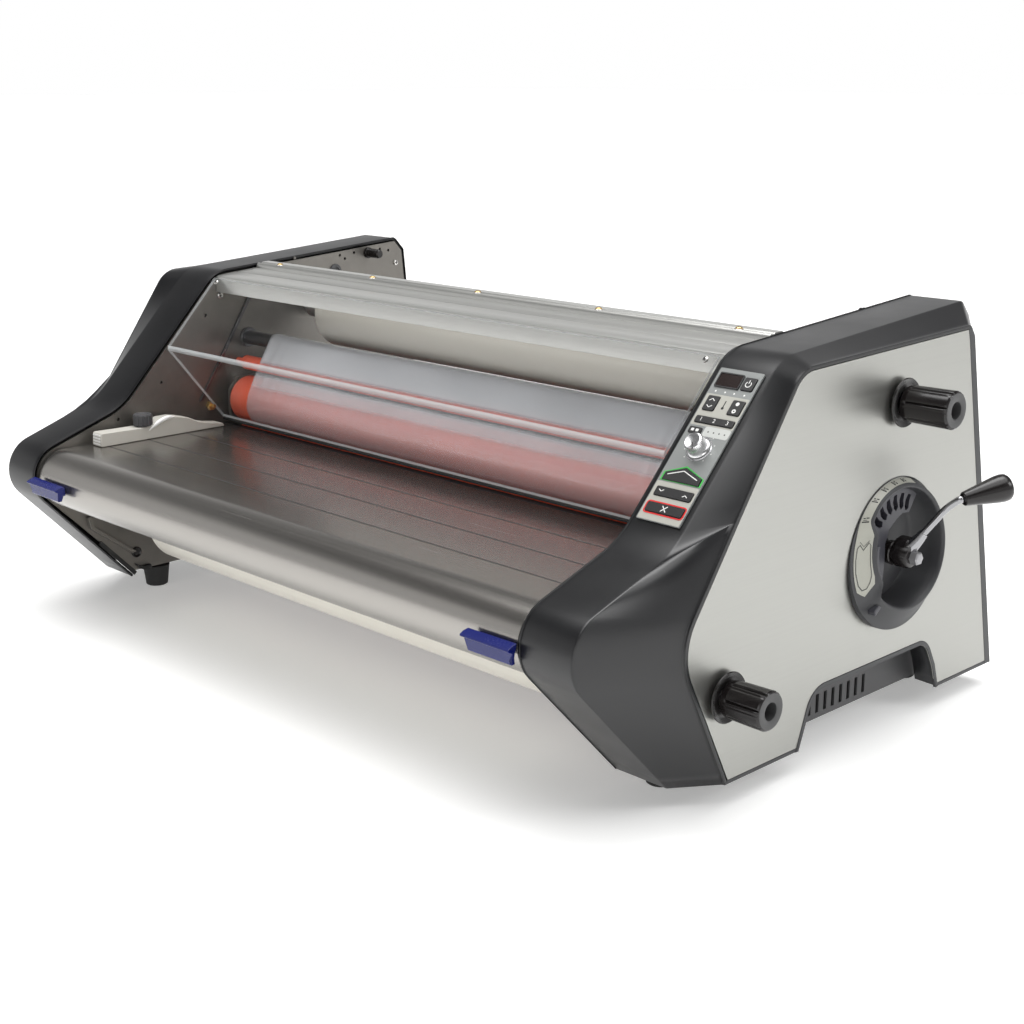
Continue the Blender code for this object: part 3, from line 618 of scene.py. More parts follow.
# ---------------------------------------------------------------- casing
def cover(label, side):
    """The moulded end cover: a band, a rounded shoulder, a lofted flank and the rim round the panel."""
    band = rounded(BAND_CORNERS)
    shoulder, rim = 1.3, 2.0
    rows = [
        [(COVER_INNER_X + 0.9, *point) for point in shrunk(BAND_CORNERS, 1.0)],
        [(COVER_INNER_X + 0.2, *point) for point in shrunk(BAND_CORNERS, 0.3)],
    ]
    for x in (COVER_INNER_X + 2.0, BAND_EDGE_X - shoulder - 1.2, BAND_EDGE_X - shoulder):
        rows.append([(x, *point) for point in band])
    lines = []
    for near, far in zip(band, rounded(PANEL_CORNERS)):
        edge, end = Vector((BAND_EDGE_X, *near)), Vector((FLANK_END_X, *far))
        slope = (end - edge).normalized()
        leave, stop = edge + slope * shoulder, end - slope * rim
        line = curve_past(edge - Vector((shoulder, 0.0, 0.0)), edge, leave, 6)
        line += [leave.lerp(stop, t) for t in (0.03, 0.18, 0.34, 0.50, 0.66, 0.82, 0.95, 1.0)]
        line += curve_past(stop, end, end + Vector((rim, 0.0, 0.0)), 4)
        lines.append([tuple(place) for place in line])
    rows += [list(row) for row in zip(*lines)]
    for inwards, x in ((0.7, 444.4), (3.2, 444.4), (3.6, 442.4), (11.0, 442.2)):
        rows.append([(x, *point) for point in shrunk(PANEL_CORNERS, inwards)])
    shape = bmesh.new()
    grid_shape(shape, [[(side * x, y, max(z, 0.0)) for x, y, z in row] for row in rows])
    piece = from_bmesh("cover_" + label, shape, 50.0)
    outwards = sum((face.normal for face in piece.data.polygons if face.center.z > 0.3), Vector())
    give_wall(piece, 2.4, -1.0 if outwards.z > 0 else 1.0)
    finish_piece(piece, COVER, "casing", ("end_cover_" + label,))


def arch_outline(outwards):
    """The arched hand cut-out, moved outwards; its ends stay at the lower edge."""
    return ends_at(shrunk(ARCH_CORNERS, outwards, steps=8, runs=2), 0.0)


def panel(label, side):
    """The brushed sheet over the end of a cover."""
    foot = 3.6
    outline = ends_at(shrunk(PANEL_CORNERS, 3.9, runs=1), foot)
    loops = [outline + ends_at(arch_outline(-4.4), foot)]
    if side > 0:
        loops += [circle(UPPER_SUPPLY, 15.0), circle(LOWER_SUPPLY, 15.0), circle(CRANK, 62.0, 64)]
    low, high = span(side, PANEL_X - 1.5, PANEL_X - 0.1)
    flat("panel_" + label, SIDE, loops, low, high, BRUSHED_Y, "casing", 0.25,
         ("outer_panel_" + label,))


def arch_liner(label, side):
    """The dark moulded lip and liner of the hand cut-out."""
    stations = ((-4.0, 442.4), (-3.8, 444.4), (-0.8, 444.4), (0.0, 443.4), (0.6, 436.0), (2.2, 419.4))
    rows = [[(side * x, *point) for point in arch_outline(outwards)] for outwards, x in stations]
    shape = bmesh.new()
    grid_shape(shape, rows)
    piece = from_bmesh("arch_liner_" + label, shape, 50.0)
    give_wall(piece, 1.2)
    finish_piece(piece, RIM, "casing", ())


def bottom_rim(label, side):
    """The lower edge of the rim, on both sides of the cut-out."""
    edge, arch = shrunk(PANEL_CORNERS, 0.5), arch_outline(-3.8)
    low, high = span(side, PANEL_X - 2.6, PANEL_X)
    for place, first, last in (("front", edge[0][0], arch[-1][0]), ("rear", arch[0][0], edge[-1][0])):
        loop = rounded_box((first, 0.0), (last, 3.2), 0.5, 2)
        flat(f"rim_foot_{place}_{label}", SIDE, [loop], low, high, RIM, "casing", 0.4)


def rear_rim(label, side):
    """The wide moulded edge behind the brushed sheet."""
    loop = [(193.4, 327.0), (199.0, 327.8), (204.2, 319.8), (275.4, 0.4), (266.4, 0.4), (196.6, 317.4)]
    low, high = span(side, PANEL_X - 2.0, PANEL_X + 0.25)
    flat("rear_rim_" + label, SIDE, [loop], low, high, RIM, "casing", 0.4)


def slotted(centre, radius, up):
    """A slot with round ends that reaches up from its lower centre."""
    high = (centre[0], centre[1] + up)
    return arc(high, radius, 0.0, 180.0, 10) + arc(centre, radius, 180.0, 360.0, 10)


def side_plate(label, side):
    """The folded steel end plate with its punched holes."""
    loops = [[(y, max(z, 6.4)) for y, z in shrunk(BAND_CORNERS, 3.9, runs=1)]]
    for y in (HEAT_Y, PULL_Y):
        loops.append(circle((y, LOWER_Z), 7.6))
        loops.append(slotted((y, UPPER_Z - 0.5), 7.8, 3.7))
    loops += [circle(CRANK, 6.7), circle(UPPER_SUPPLY, 6.6), circle(LOWER_SUPPLY, 6.6)]
    loops += [circle(place, 1.7, 12) for place in PUNCHED]
    low, high = span(side, *PLATE_X)
    flat("end_plate_" + label, SIDE, loops, low, high, PLATE, "casing", 0.25,
         ("side_plate_" + label,))


def screw_head(name, plane, centre, height, radius, material, body):
    """A pan head with its cross recess shown as a black ink cross: painted shade."""
    dome = radius * 0.35
    profile = [(height, 0.0), (height, radius)]
    for degrees in (10.0, 30.0, 50.0, 70.0):
        across, up = polar(1.0, degrees)
        profile.append((height + 1.0 + dome * up, radius * across))
    top = height + 1.0 + dome
    turned(name, plane, centre, profile + [(top, 0.0)], material, body, 24)
    # Painted shade: two black ink bars on the head stand for the shade in the cross recess.
    for index, (long, wide) in enumerate(((0.55, 0.14), (0.14, 0.55))):
        loop = rounded_box(
            (centre[0] - radius * long, centre[1] - radius * wide),
            (centre[0] + radius * long, centre[1] + radius * wide), radius * 0.05, 1)
        flat(f"{name}_slot_{index}", plane, [loop], top - 0.1, top + 0.05, INK, body)


def plate_details():
    """What stands or lies on the inner face of each side plate."""
    ribs = [(0.0, 0.0), (0.0, 6.5), (2.0, 6.5), (2.0, 5.4)]
    for step in range(5):
        start = 3.0 + step * 3.4
        ribs += [(start, 4.4), (start + 0.4, 5.4), (start + 2.2, 5.4), (start + 2.6, 4.4)]
    ribs += [(20.0, 5.0), (22.0, 5.0), (23.0, 4.0), (23.0, 0.0)]
    boss = [(0.0, 0.0), (0.0, 8.0), (1.6, 8.0), (2.2, 7.0), (2.2, 4.4), (1.0, 4.0), (1.0, 0.0)]
    nut = [(0.0, 0.0), (0.0, 5.5), (4.0, 5.5), (4.6, 5.0), (4.6, 2.4), (9.0, 2.4), (9.6, 1.8), (9.6, 0.0)]
    plug = [(0.0, 0.0), (0.0, 6.0), (1.4, 6.0), (2.2, 5.0), (1.2, 3.6), (1.2, 0.0)]
    dark_strip = [(-160.8, 1.7), (-157.4, 4.8), (-198.8, 48.2), (-202.2, 45.1)]
    hook = [(-159.5, 14.6), (-150.0, 9.8), (-140.0, 10.2), (-139.6, 5.0), (-147.0, 4.6), (-154.0, 8.0)]
    fold = [(19.0, 306.0), (14.0, 306.0), (-64.5, 184.0), (-60.0, 184.0)]
    flange = [(-215.0, 78.0), (-212.0, 65.0), (-163.0, 28.0), (-158.0, 29.4), (-208.0, 67.0), (-211.0, 79.0)]
    for label, side in SIDES:
        plane = Plane((side * PLATE_X[0], 0, 0), (0, -side, 0), (0, 0, 1))

        def stand(name, y, z, profile, material, steps=24, smooth_angle=35.0):
            turned(f"{name}_{label}", plane, (-side * y, z), profile, material, "casing", steps,
                   smooth_angle=smooth_angle)

        def lie(name, outline, height, material, bevel=0.0):
            loop = [(-side * y, z) for y, z in outline]
            flat(f"{name}_{label}", plane, [loop], 0.0, height, material, "casing", bevel)

        stand("plate_post", 184.0, 331.0, ribs, GLOSS_BLACK, 32)
        stand("plate_boss", 134.0, 313.5, boss, NYLON, 32)
        for index, (y, z) in enumerate(((227.0, 316.0), (40.0, 312.0), (-30.0, 300.0), (226.0, 60.0))):
            screw_head(f"plate_screw_{label}_{index}", plane, (-side * y, z), 0.0, 3.4, STEEL, "casing")
        stand("shield_stop", -50.0, 177.5, nut, BRASS, 6, 20.0)
        stand("plate_plug", -156.0, 27.0, plug, GLOSS_BLACK)
        lie("edge_seal", dark_strip, 1.6, BLACK_RUBBER)
        lie("plate_clip", hook, 4.0, BLACK_RUBBER, 0.5)
        lie("inner_fold", fold, 2.2, DARK_STEEL, 0.5)
        lie("plate_flange", flange, 5.0, PLATE, 0.5)


def base():
    recoat("base_pan", CHARCOAL)
    recoat("rear_panel", PLATE)
    profile = [
        (-20.0, 0.0), (-20.0, 10.8), (-19.0, 12.1), (-16.0, 12.5), (1.4, 14.6), (3.0, 15.0), (3.6, 14.4),
        (3.6, 0.0),
    ]
    for label, side in SIDES:
        for end, y in (("front", -122.5), ("rear", 232.0)):
            name = f"foot_{end}_{label}"
            turned("rubber_" + name, FLAT, (side * 376.0, y), profile, BLACK_RUBBER, "casing", 40,
                   stands_for=(name,))


def rear_details():
    """Vents, fixing screws, the inlet's socket and the rocker's frame on the rear panel."""
    back = Plane((0, 254.0, 0), (-1, 0, 0), (0, 0, 1))
    for index, x in enumerate((-340.0, -170.0, 0.0, 170.0, 340.0)):
        for height in (16.0, 104.0):
            screw_head(f"rear_screw_{index}_{int(height)}", back, (x, height), 0.0, 3.2, STEEL, "casing")
    for index in range(14):
        u = -250.0 + index * 12.0
        slot_loop = rounded_box((u, 30.0), (u + 5.0, 84.0), 2.4, 4)
        flat(f"rear_vent_{index}", back, [slot_loop], 0.0, 0.5, CHARCOAL, "casing")
    outer = rounded_box((282.0, 42.0), (330.0, 72.0), 4.0)
    well = rounded_box((288.5, 46.5), (323.5, 67.5), 5.0)
    flat("inlet_flange", back, [outer, well], 0.4, 3.6, GLOSS_BLACK, "casing", 0.6, ("power_inlet",))
    flat("inlet_well", back, [rounded_box((286.5, 44.5), (325.5, 69.5), 5.0)], 0.4, 1.2, INK, "casing")
    for index, (u, v) in enumerate(((297.0, 54.0), (306.0, 60.0), (315.0, 54.0))):
        pin = rounded_box((u - 1.2, v - 2.6), (u + 1.2, v + 2.6), 0.6, 2)
        flat(f"inlet_pin_{index}", back, [pin], 1.2, 7.6, STEEL, "casing", 0.3)
    frame_loop = rounded_box((236.5, 40.0), (265.5, 74.0), 2.0)
    opening = rounded_box((238.7, 42.2), (263.3, 71.8), 1.0)
    flat("switch_frame", back, [frame_loop, opening], 0.05, 1.4, GLOSS_BLACK, "casing", 0.4)
    rocker = Plane((0, 254.5, 57.0), (0, 1, 0), (0, 0, 1))
    cap = [(-5.0, -13.0), (3.4, -13.0), (5.0, -12.0), (2.6, 0.0), (5.0, 12.0), (3.4, 13.0), (-5.0, 13.0)]
    flat("rocker_cap", rocker, [cap], -262.0, -240.0, GLOSS_BLACK, "mains_rocker", 0.8,
         ("power_switch",))


def top_bars():
    bar = [
        (-34.5, 304.0), (-34.5, 319.0), (-33.6, 321.2), (-31.0, 322.4), (-8.0, 324.5), (-7.0, 323.9),
        (-5.5, 324.0), (-4.6, 324.8), (19.4, 326.9), (20.0, 326.4), (20.0, 322.0), (-30.0, 317.5),
        (-31.0, 316.0), (-31.0, 304.0),
    ]
    rail = [
        (20.5, 316.0), (20.5, 328.2), (22.6, 331.6), (24.0, 332.2), (25.2, 331.4), (27.8, 331.4),
        (29.0, 332.6), (38.0, 333.0), (40.6, 332.0), (42.0, 329.4), (42.0, 316.0),
    ]
    for name, node, outline in (("front_bar", "top_bar", bar), ("rear_rail", "top_rail", rail)):
        flat(name, SIDE, [outline], -COVER_INNER_X, COVER_INNER_X, ALLOY, "casing", 0.3, (node,))
    collar = [(331.3, 0.0), (331.3, 4.4), (331.9, 4.4), (332.2, 4.0), (332.2, 0.0)]
    for index, x in enumerate((-324.0, -162.0, 0.0, 162.0, 324.0)):
        turned(f"rail_washer_{index}", FLAT, (x, 27.0), collar, STEEL, "casing", 24)
        screw_head(f"rail_screw_{index}", FLAT, (x, 27.0), 331.9, 3.2, BRASS, "casing")


# ---------------------------------------------------------------- rollers and film
def shaft_profile(left, right, neck, hub, hub_at):
    """A steel shaft with chamfered ends and a wider hub under the sleeve."""
    return [
        (left, 0.0), (left, neck - 0.6), (left + 0.6, neck), (-hub_at - 2.0, neck),
        (-hub_at - 2.0, hub - 0.8), (-hub_at - 1.2, hub), (hub_at + 1.2, hub), (hub_at + 2.0, hub - 0.8),
        (hub_at + 2.0, neck), (right - 0.6, neck), (right, neck - 0.6), (right, 0.0),
    ]


def roller(label, kind, centre, material):
    """A covered roller: a steel core with hubs, and a soft sleeve with rounded ends."""
    name = f"{label}_{kind}"
    half = 340.0
    core = shaft_profile(-395.0 if label == "lower" else -379.0, 369.0, 7.0, 18.6, half)
    turned(name + "_core", SIDE, centre, core, STEEL, name, 40)
    sleeve = both_ends([(-half, 19.0), (-half, 24.4), (-half + 0.4, 25.1), (-half + 1.1, ROLLER_R)])
    turned(name + "_sleeve", SIDE, centre, sleeve, material, name, 96, closed=True,
           stands_for=(name + "_roller",))
    recoat(name + "_gear", NYLON)


def belt_pulley(name, centre):
    """The toothed pulley on the left end of a lower roller."""
    def toothed(angle, along, reach):
        return reach - (0.7 if math.sin(18 * angle) > 0 else 0.0)

    wheel = [
        (-393.0, 7.2), (-393.0, 12.6), (-392.4, 12.6), (-392.2, 11.4), (-383.8, 11.4), (-383.6, 12.6),
        (-383.0, 12.6), (-383.0, 7.2),
    ]
    turned(name + "_pulley", SIDE, centre, wheel, ALLOY, name, 72, closed=True, ripple=toothed)


def rollers():
    for kind, y, material, slot in (
        ("heat", HEAT_Y, SILICONE, "red_silicone"), ("pull", PULL_Y, NYLON, "dark_grey"),
    ):
        roller("upper", kind, (y, UPPER_Z), material)
        roller("lower", kind, (y, LOWER_Z), material)
        belt_pulley("lower_" + kind, (y, LOWER_Z))
    guide = [(-360.5, 0.0), (-360.5, 3.6), (-360.1, 4.0), (-345.0, 4.0), (-345.0, 7.2), (-344.2, 8.0)]
    turned("guide_roller_sleeve", SIDE, GUIDE_ROLLER, both_ends(guide), SILICONE, "guide_roller", 48,
           stands_for=("upper_guide_roller",))
    bar = [(-360.5, 0.0), (-360.5, 11.0), (-357.0, 11.0), (-356.4, 10.4), (-356.4, 8.0)]
    turned("idler_rod", SIDE, IDLER, both_ends(bar), DARK_STEEL, "casing", 48,
           stands_for=("upper_idler_bar",))


def drive():
    for node, material in (
        ("drive_belt", BLACK_RUBBER), ("gear_motor", CHARCOAL), ("motor_pulley", ALLOY),
        ("cam_shaft", STEEL), ("roller_carrier_left", PLATE), ("roller_carrier_right", PLATE),
    ):
        recoat(node, material)


def supply(label, centre, radius):
    """A supply shaft with its two chucks, and a wound roll of film on its card core."""
    body = label + "_supply"
    shaft = shaft_profile(-369.0, 369.0, 6.0, 12.4, 350.0)
    turned(label + "_spindle", SIDE, centre, shaft, ALLOY, body, 36,
           stands_for=(label + "_supply_shaft",))
    wound = both_ends([(-298.0, 16.4), (-298.0, radius - 1.0), (-297.4, radius - 0.2), (-296.8, radius)])
    turned(label + "_wound_film", SIDE, centre, wound, WOUND_FILM, body, 128, closed=True,
           stands_for=(label + "_film_roll",))
    tube = both_ends([(-301.0, 12.9), (-301.0, 16.2)])
    turned(label + "_core_tube", SIDE, centre, tube, CARDBOARD, body, 64, closed=True)
    for index in range(5):
        reach = 19.0 + index * (radius - 21.0) / 4.6
        ring = [(298.05, reach), (298.3, reach + 0.1), (298.3, reach + 0.9), (298.05, reach + 1.0)]
        for end, side in SIDES:
            turned(f"{label}_film_layer_{end}_{index}", SIDE, centre, [(side * x, r) for x, r in ring],
                   WHITE, body, 64, closed=True)
    chuck = [
        (304.0, 12.6), (304.0, 19.0), (306.0, 20.5), (311.0, 20.5), (313.0, 18.0), (320.0, 16.6),
        (320.0, 12.6),
    ]
    screw = [(16.0, 0.0), (16.0, 2.6), (21.0, 2.6), (21.6, 2.0), (21.6, 0.0)]
    for end, side in SIDES:
        turned(f"{label}_chuck_{end}", SIDE, centre, [(side * x, r) for x, r in chuck], GLOSS_BLACK, body,
               48, closed=True)
        above = Plane((side * 316.0, *centre), (1, 0, 0), (0, 1, 0))
        turned(f"{label}_chuck_screw_{end}", above, (0.0, 0.0), screw, STEEL, body, 16)


def film():
    """The threaded film: off the supply roll, over the idler, down and round the upper hot roller."""
    path = [(64.0, 242.6), (58.0, 244.3), (50.0, 246.5), (36.0, 250.3), (22.0, 254.1)]
    path += arc(IDLER, 8.9, 75.0, 150.5, 14)
    wrap = arc((HEAT_Y, UPPER_Z), ROLLER_R + 0.9, 150.5, 250.0, 36)
    start, end = Vector(path[-1]), Vector(wrap[0])
    path += [tuple(start.lerp(end, step / 16)) for step in range(1, 16)] + wrap
    columns, half, border = 150, 305.0, 43.0
    inside = Vector((20.0, 215.0))
    rows = []
    for index, ((y, z), along) in enumerate(zip(path, directions(path))):
        out = Vector((-along.y, along.x))
        if out.dot(Vector((y, z)) - inside) < 0:
            out = -out
        t = index / (len(path) - 1)
        free = math.sin(math.pi * min(max((t - 0.25) / 0.35, 0.0), 1.0))
        row = []
        for column in range(columns + 1):
            x = -half + 2 * half * column / columns
            edge = max(abs(x) - half + border, 0.0) / border
            wave = 0.5 + 0.5 * math.sin(x * 0.045 + 3.0 * t)
            ripple = 0.5 + 0.5 * math.sin(x * 0.31 + 9.0 * t + 1.7 * math.sin(x * 0.07))
            lift = free * (0.9 * wave + 0.35 * ripple) + edge * (0.4 + 1.5 * ripple * (0.4 + free))
            curl = edge ** 3 * 1.2 * math.sin(11.0 * t)
            row.append((x + math.copysign(1.0, x) * curl, y + out.x * lift, z + out.y * lift))
        rows.append(row)
    shape = bmesh.new()
    grid_shape(shape, rows)
    piece = from_bmesh("threaded_film", shape, 0.0)
    give_wall(piece, 0.15)
    finish_piece(piece, FILM, "roller_carriage", ("upper_film_web",))


# ---------------------------------------------------------------- feed side
def table():
    top, thick, end = TABLE_Z, 2.0, TABLE_HALF
    upper = [(-42.0, top - 0.5), (-42.6, top)]
    for y in reversed(GROOVE_Y):
        upper += [(y + 1.1, top), (y + 0.7, top - 1.1), (y - 0.7, top - 1.1), (y - 1.1, top)]
    outer = upper + arc(NOSE_CENTRE, NOSE_R, 90.0, 245.0, 48)
    inner = arc(NOSE_CENTRE, NOSE_R - thick, 245.0, 90.0, 40) + [(-42.0, top - thick)]
    flat("rolled_table", SIDE, [outer + inner], -end, end, BRUSHED_X, "table", 0.2, ("feed_table",))
    # Painted shade: a black ink strip fills each groove for the shade in it.
    for index, y in enumerate(GROOVE_Y):
        strip = [(y + 0.66, top - 1.1), (y + 0.9, top - 0.2), (y - 1.05, top - 0.05), (y - 0.7, top - 1.1)]
        flat(f"groove_strip_{index}", SIDE, [strip], 0.5 - end, end - 0.5, INK, "table")
    # Painted shade: a black ink piece just behind the table's rear edge stands for the shade in the gap
    # towards the rollers.
    gap_shade = [(-42.4, top - 3.4), (-31.0, top - 3.4), (-31.0, top - 0.8), (-42.4, top - 0.3)]
    flat("table_rear_gap_shade", SIDE, [gap_shade], 1.0 - end, end - 1.0, INK, "table", 0.3)
    for label, side in SIDES:
        cap = arc(NOSE_CENTRE, NOSE_R - thick - 0.4, 90.0, 245.0, 24) + [(-240.0, 116.0), (-215.0, 140.0)]
        low, high = span(side, end - 3.0, end - 1.0)
        flat("nose_cap_" + label, SIDE, [cap], low, high, CHARCOAL, "table", 0.3)


def guide():
    low = TABLE_Z + 0.35
    outline = [
        (-206.6, low), (-207.0, low + 3.0), (-206.0, low + 13.2), (-204.6, low + 14.6), (-178.0, low + 13.9),
        (-151.0, low + 13.6), (-140.0, low + 17.0), (-130.0, low + 20.0), (-117.0, low + 20.2),
        (-107.0, low + 18.5), (-96.0, low + 15.5), (-83.5, low + 9.5), (-69.0, low + 6.0),
        (-53.0, low + 3.6), (-51.6, low + 2.0), (-51.6, low),
    ]
    flat("guide_body", SIDE, [outline], -350.0, -332.5, BEIGE, "guide", 0.9, ("paper_guide",))
    front = Plane((0, -206.6, 0), (1, 0, 0), (0, 0, 1))
    for index in range(4):
        rib = rounded_box((-348.4, low + 1.4 + 3.1 * index), (-334.1, low + 3.5 + 3.1 * index), 0.8, 3)
        flat(f"guide_rib_{index}", front, [rib], -0.4, 0.5, WHITE, "guide", 0.3)
    path = smooth_path([
        (-333.6, -148.0, low + 9.4), (-333.2, -139.0, low + 14.8), (-333.2, -130.0, low + 18.6),
        (-333.4, -122.0, low + 20.2), (-334.4, -115.0, low + 19.0),
    ], 6)
    radii = [1.2 + 1.3 * math.sin(math.pi * index / (len(path) - 1)) for index in range(len(path))]
    swept("guide_grip", path, radii, WHITE, "guide", 20)

    def lobed(angle, along, reach):
        return reach - 0.9 * max(0.0, math.cos(12 * angle)) ** 2 if reach > 8.5 else reach

    start = low + 14.2
    profile = [
        (start, 0.0), (start, 9.6), (start + 0.8, 10.6), (start + 11.2, 10.6), (start + 12.6, 9.6),
        (start + 12.8, 6.6), (start + 12.2, 6.0), (start + 12.2, 0.0),
    ]
    turned("guide_thumb_knob", FLAT, (-341.0, -150.0), profile, NYLON, "guide_clamp", 96, ripple=lobed,
           stands_for=("guide_knob",))


def latch(label, side, near, far):
    """A folded blue tab: a ledge that leans over a set-back lower face, its inner end cut at a slant."""
    body = "latch_" + label
    stations = 12
    rows = []
    for step in range(stations + 1):
        t = step / stations
        top, low = near + (far - near) * t, near + 5.0 + (far - near - 6.0) * t
        section = [
            (top, -272.9, 134.0 - 0.6 * (1 - t)), (top + 0.4, -278.2, 132.8), (top + 0.6, -282.4, 130.9),
            (top + 0.8, -282.8, 129.4), (top + 1.2, -281.6, 128.6), (top + 1.8, -279.4, 127.6),
            (low - 1.0, -278.6, 121.0), (low, -278.2, 118.0), (low, -277.2, 117.2), (low, -273.6, 117.4),
            (low - 2.0, -272.9, 122.0),
        ]
        row = [(side * x, y, z) for x, y, z in section]
        rows.append(row + row[:1])
    shape = bmesh.new()
    grid = grid_shape(shape, rows)
    shape.faces.new(grid[0][:-1])
    shape.faces.new(grid[-1][:-1])
    bmesh.ops.remove_doubles(shape, verts=shape.verts, dist=1e-6)
    piece = from_bmesh("blue_tab_" + label, shape, 0.0)
    round_edges(piece, 0.4, limit=35.0)
    finish_piece(piece, BLUE, body, ("feed_latch_" + label,))
    lug = [(-275.0, 122.4), (-268.5, 122.4), (-268.5, 130.6), (-275.0, 130.6)]
    low, high = span(side, near + 6.0, near + 38.0)
    flat("blue_lug_" + label, SIDE, [lug], low, high, BLUE, body, 0.4)


def shield():
    """The clear bent guard with its polished edges, a black strip of painted shade at its foot and two hinge
    screws.
    """
    thick, radius, half_width = 3.0, 3.0, 356.0
    top, fold, foot = Vector((-38.5, 320.0)), Vector((-104.0, 249.5)), Vector((-36.0, 165.0))
    before, after = (top - fold).normalized(), (foot - fold).normalized()
    angle = before.angle(after) / 2
    centre = fold + (before + after).normalized() * radius / math.sin(angle)
    reach = radius / math.tan(angle)
    first, last = [
        math.degrees(math.atan2(place.y - centre.y, place.x - centre.x)) % 360.0
        for place in (fold + before * reach, fold + after * reach)
    ]
    middle = [tuple(top)] + arc(centre, radius, first, last, 14) + [tuple(foot)]
    guard = flat("clear_guard", SIDE, [stroke(middle, thick)], -half_width, half_width, ACRYLIC, "shield",
                 0.25, ("safety_shield",))
    guard.data.materials.append(ACRYLIC_EDGE)
    for face in guard.data.polygons:
        is_end = abs(face.normal.x) > 0.9
        is_long_edge = face.area < 0.0024 and (SIDE.at(*foot) - face.center).length < 0.36
        face.material_index = 1 if is_end or is_long_edge else 0
    slope = Plane((0, *top), (1, 0, 0), (0, before.x, before.y))
    # Painted shade: a black rubber strip behind the guard's foot stands for the shade of the nip gap.
    dark_strip = [(-37.4, 160.6), (-34.2, 160.6), (-34.2, 163.4), (-37.4, 163.4)]
    flat("guard_nip_shade_strip", SIDE, [dark_strip], -355.0, 355.0, BLACK_RUBBER, "shield", 0.4)
    for index, x in enumerate((-346.0, 346.0)):
        screw_head(f"guard_screw_{index}", slope, (x, -6.0), thick / 2, 2.8, STEEL, "shield")


# ---------------------------------------------------------------- pressure dial and crank
DIAL_X, DIAL_R, DIAL_TILT = 448.4, 66.2, (0.024, -0.072)
BOWL_X, BOWL_R, BOWL_TILT = 455.7, 51.8, (0.075, -0.106)
BOWL_SHIFT = (2.8, 5.8)
DEEP_START, DEEP_END, DEEP_STEP = 144.0, 226.0, 11.5  # where the bowl's lip steps inwards, and how far


def outer_edge(degrees, reach=0.0):
    """The dial's outer edge, moved inwards by reach; the top lies nearly flush, the bottom stands proud."""
    u, v = polar(DIAL_R - reach, degrees)
    return Vector((DIAL_X + DIAL_TILT[0] * u + DIAL_TILT[1] * v, CRANK[0] + u, CRANK[1] + v))


def bowl_edge(degrees, reach=0.0, sink=0.0):
    """The lip of the bowl, whose circle sits higher and further back than the outer one."""
    begun = min(max((degrees - DEEP_START) / 14.0, 0.0), 1.0)
    swell = begun * min(max((DEEP_END - degrees) / 12.0, 0.0), 1.0)
    swell = swell * swell * (3.0 - 2.0 * swell)
    u, v = polar(BOWL_R - DEEP_STEP * swell - reach, degrees)
    x = BOWL_X + BOWL_TILT[0] * u + BOWL_TILT[1] * v - sink
    return Vector((x, CRANK[0] + BOWL_SHIFT[0] + u, CRANK[1] + BOWL_SHIFT[1] + v))


def on_cone(t, degrees, lift=0.0):
    """A place on the sloping face between the outer edge (t = 0) and the bowl's lip (t = 1)."""
    outer, inner = outer_edge(degrees, 1.0), bowl_edge(degrees, -3.0)
    along = (inner - outer).normalized()
    around = Vector((0.0, -math.sin(math.radians(degrees)), math.cos(math.radians(degrees))))
    normal = along.cross(around)
    if normal.x < 0:
        normal = -normal
    return outer.lerp(inner, t) + normal.normalized() * lift


def cone_patch(name, rows, material, thick=0.12):
    """A thin piece lying on the dial's sloping face, from rows of (t, degrees)."""
    shape = bmesh.new()
    grid_shape(shape, [[on_cone(t, degrees, thick) for t, degrees in row] for row in rows])
    piece = from_bmesh(name, shape, 0.0)
    finish_piece(piece, material, "casing")


def cone_line(name, points, width, material, lift):
    """A drawn line on the sloping face through (t, degrees) places."""
    places = [on_cone(t, degrees, lift) for t, degrees in points]
    rows = ([], [])
    for place, along in zip(places, directions(places)):
        across = along.cross(Vector((1.0, 0.0, 0.0))).normalized() * width / 2
        rows[0].append(place + across)
        rows[1].append(place - across)
    shape = bmesh.new()
    grid_shape(shape, rows)
    finish_piece(from_bmesh(name, shape, 0.0), material, "casing")


def dial_shell():
    """The dial's moulding: a sloping face, a rounded lip and a deep bowl, all set askew on the panel."""
    steps = 144
    wall = ((13.0, 431.5), (12.2, 430.6), (12.2, 428.0), (44.0, 428.0), (52.0, 436.0), (57.2, 442.0))
    rows = []
    for index in range(steps + 1):
        degrees = 360.0 * index / steps
        outer = outer_edge(degrees)
        root = Vector((PANEL_X + 0.35, outer.y, outer.z))
        low = 0.2 * min(max(outer.x - root.x, 0.5), 3.0)
        row = [root, Vector((max(outer.x - low, root.x + 0.2), outer.y, outer.z)), outer_edge(degrees, 0.3)]
        row[2].x = max(row[2].x, root.x + 0.6)
        row += [on_cone(t, degrees) for t in (0.0, 0.5, 1.0)]
        for reach, sink in ((-1.6, -0.9), (-0.4, -0.9), (0.8, 0.2), (1.4, 2.0), (3.2, 9.0)):
            row.append(bowl_edge(degrees, reach, sink))
        u, v = polar(46.0, degrees)
        row.append(Vector((434.4, CRANK[0] + u * 0.98 + 1.0, CRANK[1] + v * 0.98 + 2.0)))
        for reach, x in ((43.0, 431.8), *wall):
            u, v = polar(reach, degrees)
            row.append(Vector((x, CRANK[0] + u, CRANK[1] + v)))
        rows.append(row)
    shape = bmesh.new()
    grid_shape(shape, rows)
    bmesh.ops.remove_doubles(shape, verts=shape.verts, dist=1e-6)
    finish_piece(from_bmesh("dial_bowl", shape, 50.0), RIM, "casing", ("dial_bezel",))


def on_dial(place):
    """A place of the machine gauge, as (u, v) round the crank's axis."""
    return (place.y - CRANK[0], place.z - CRANK[1])


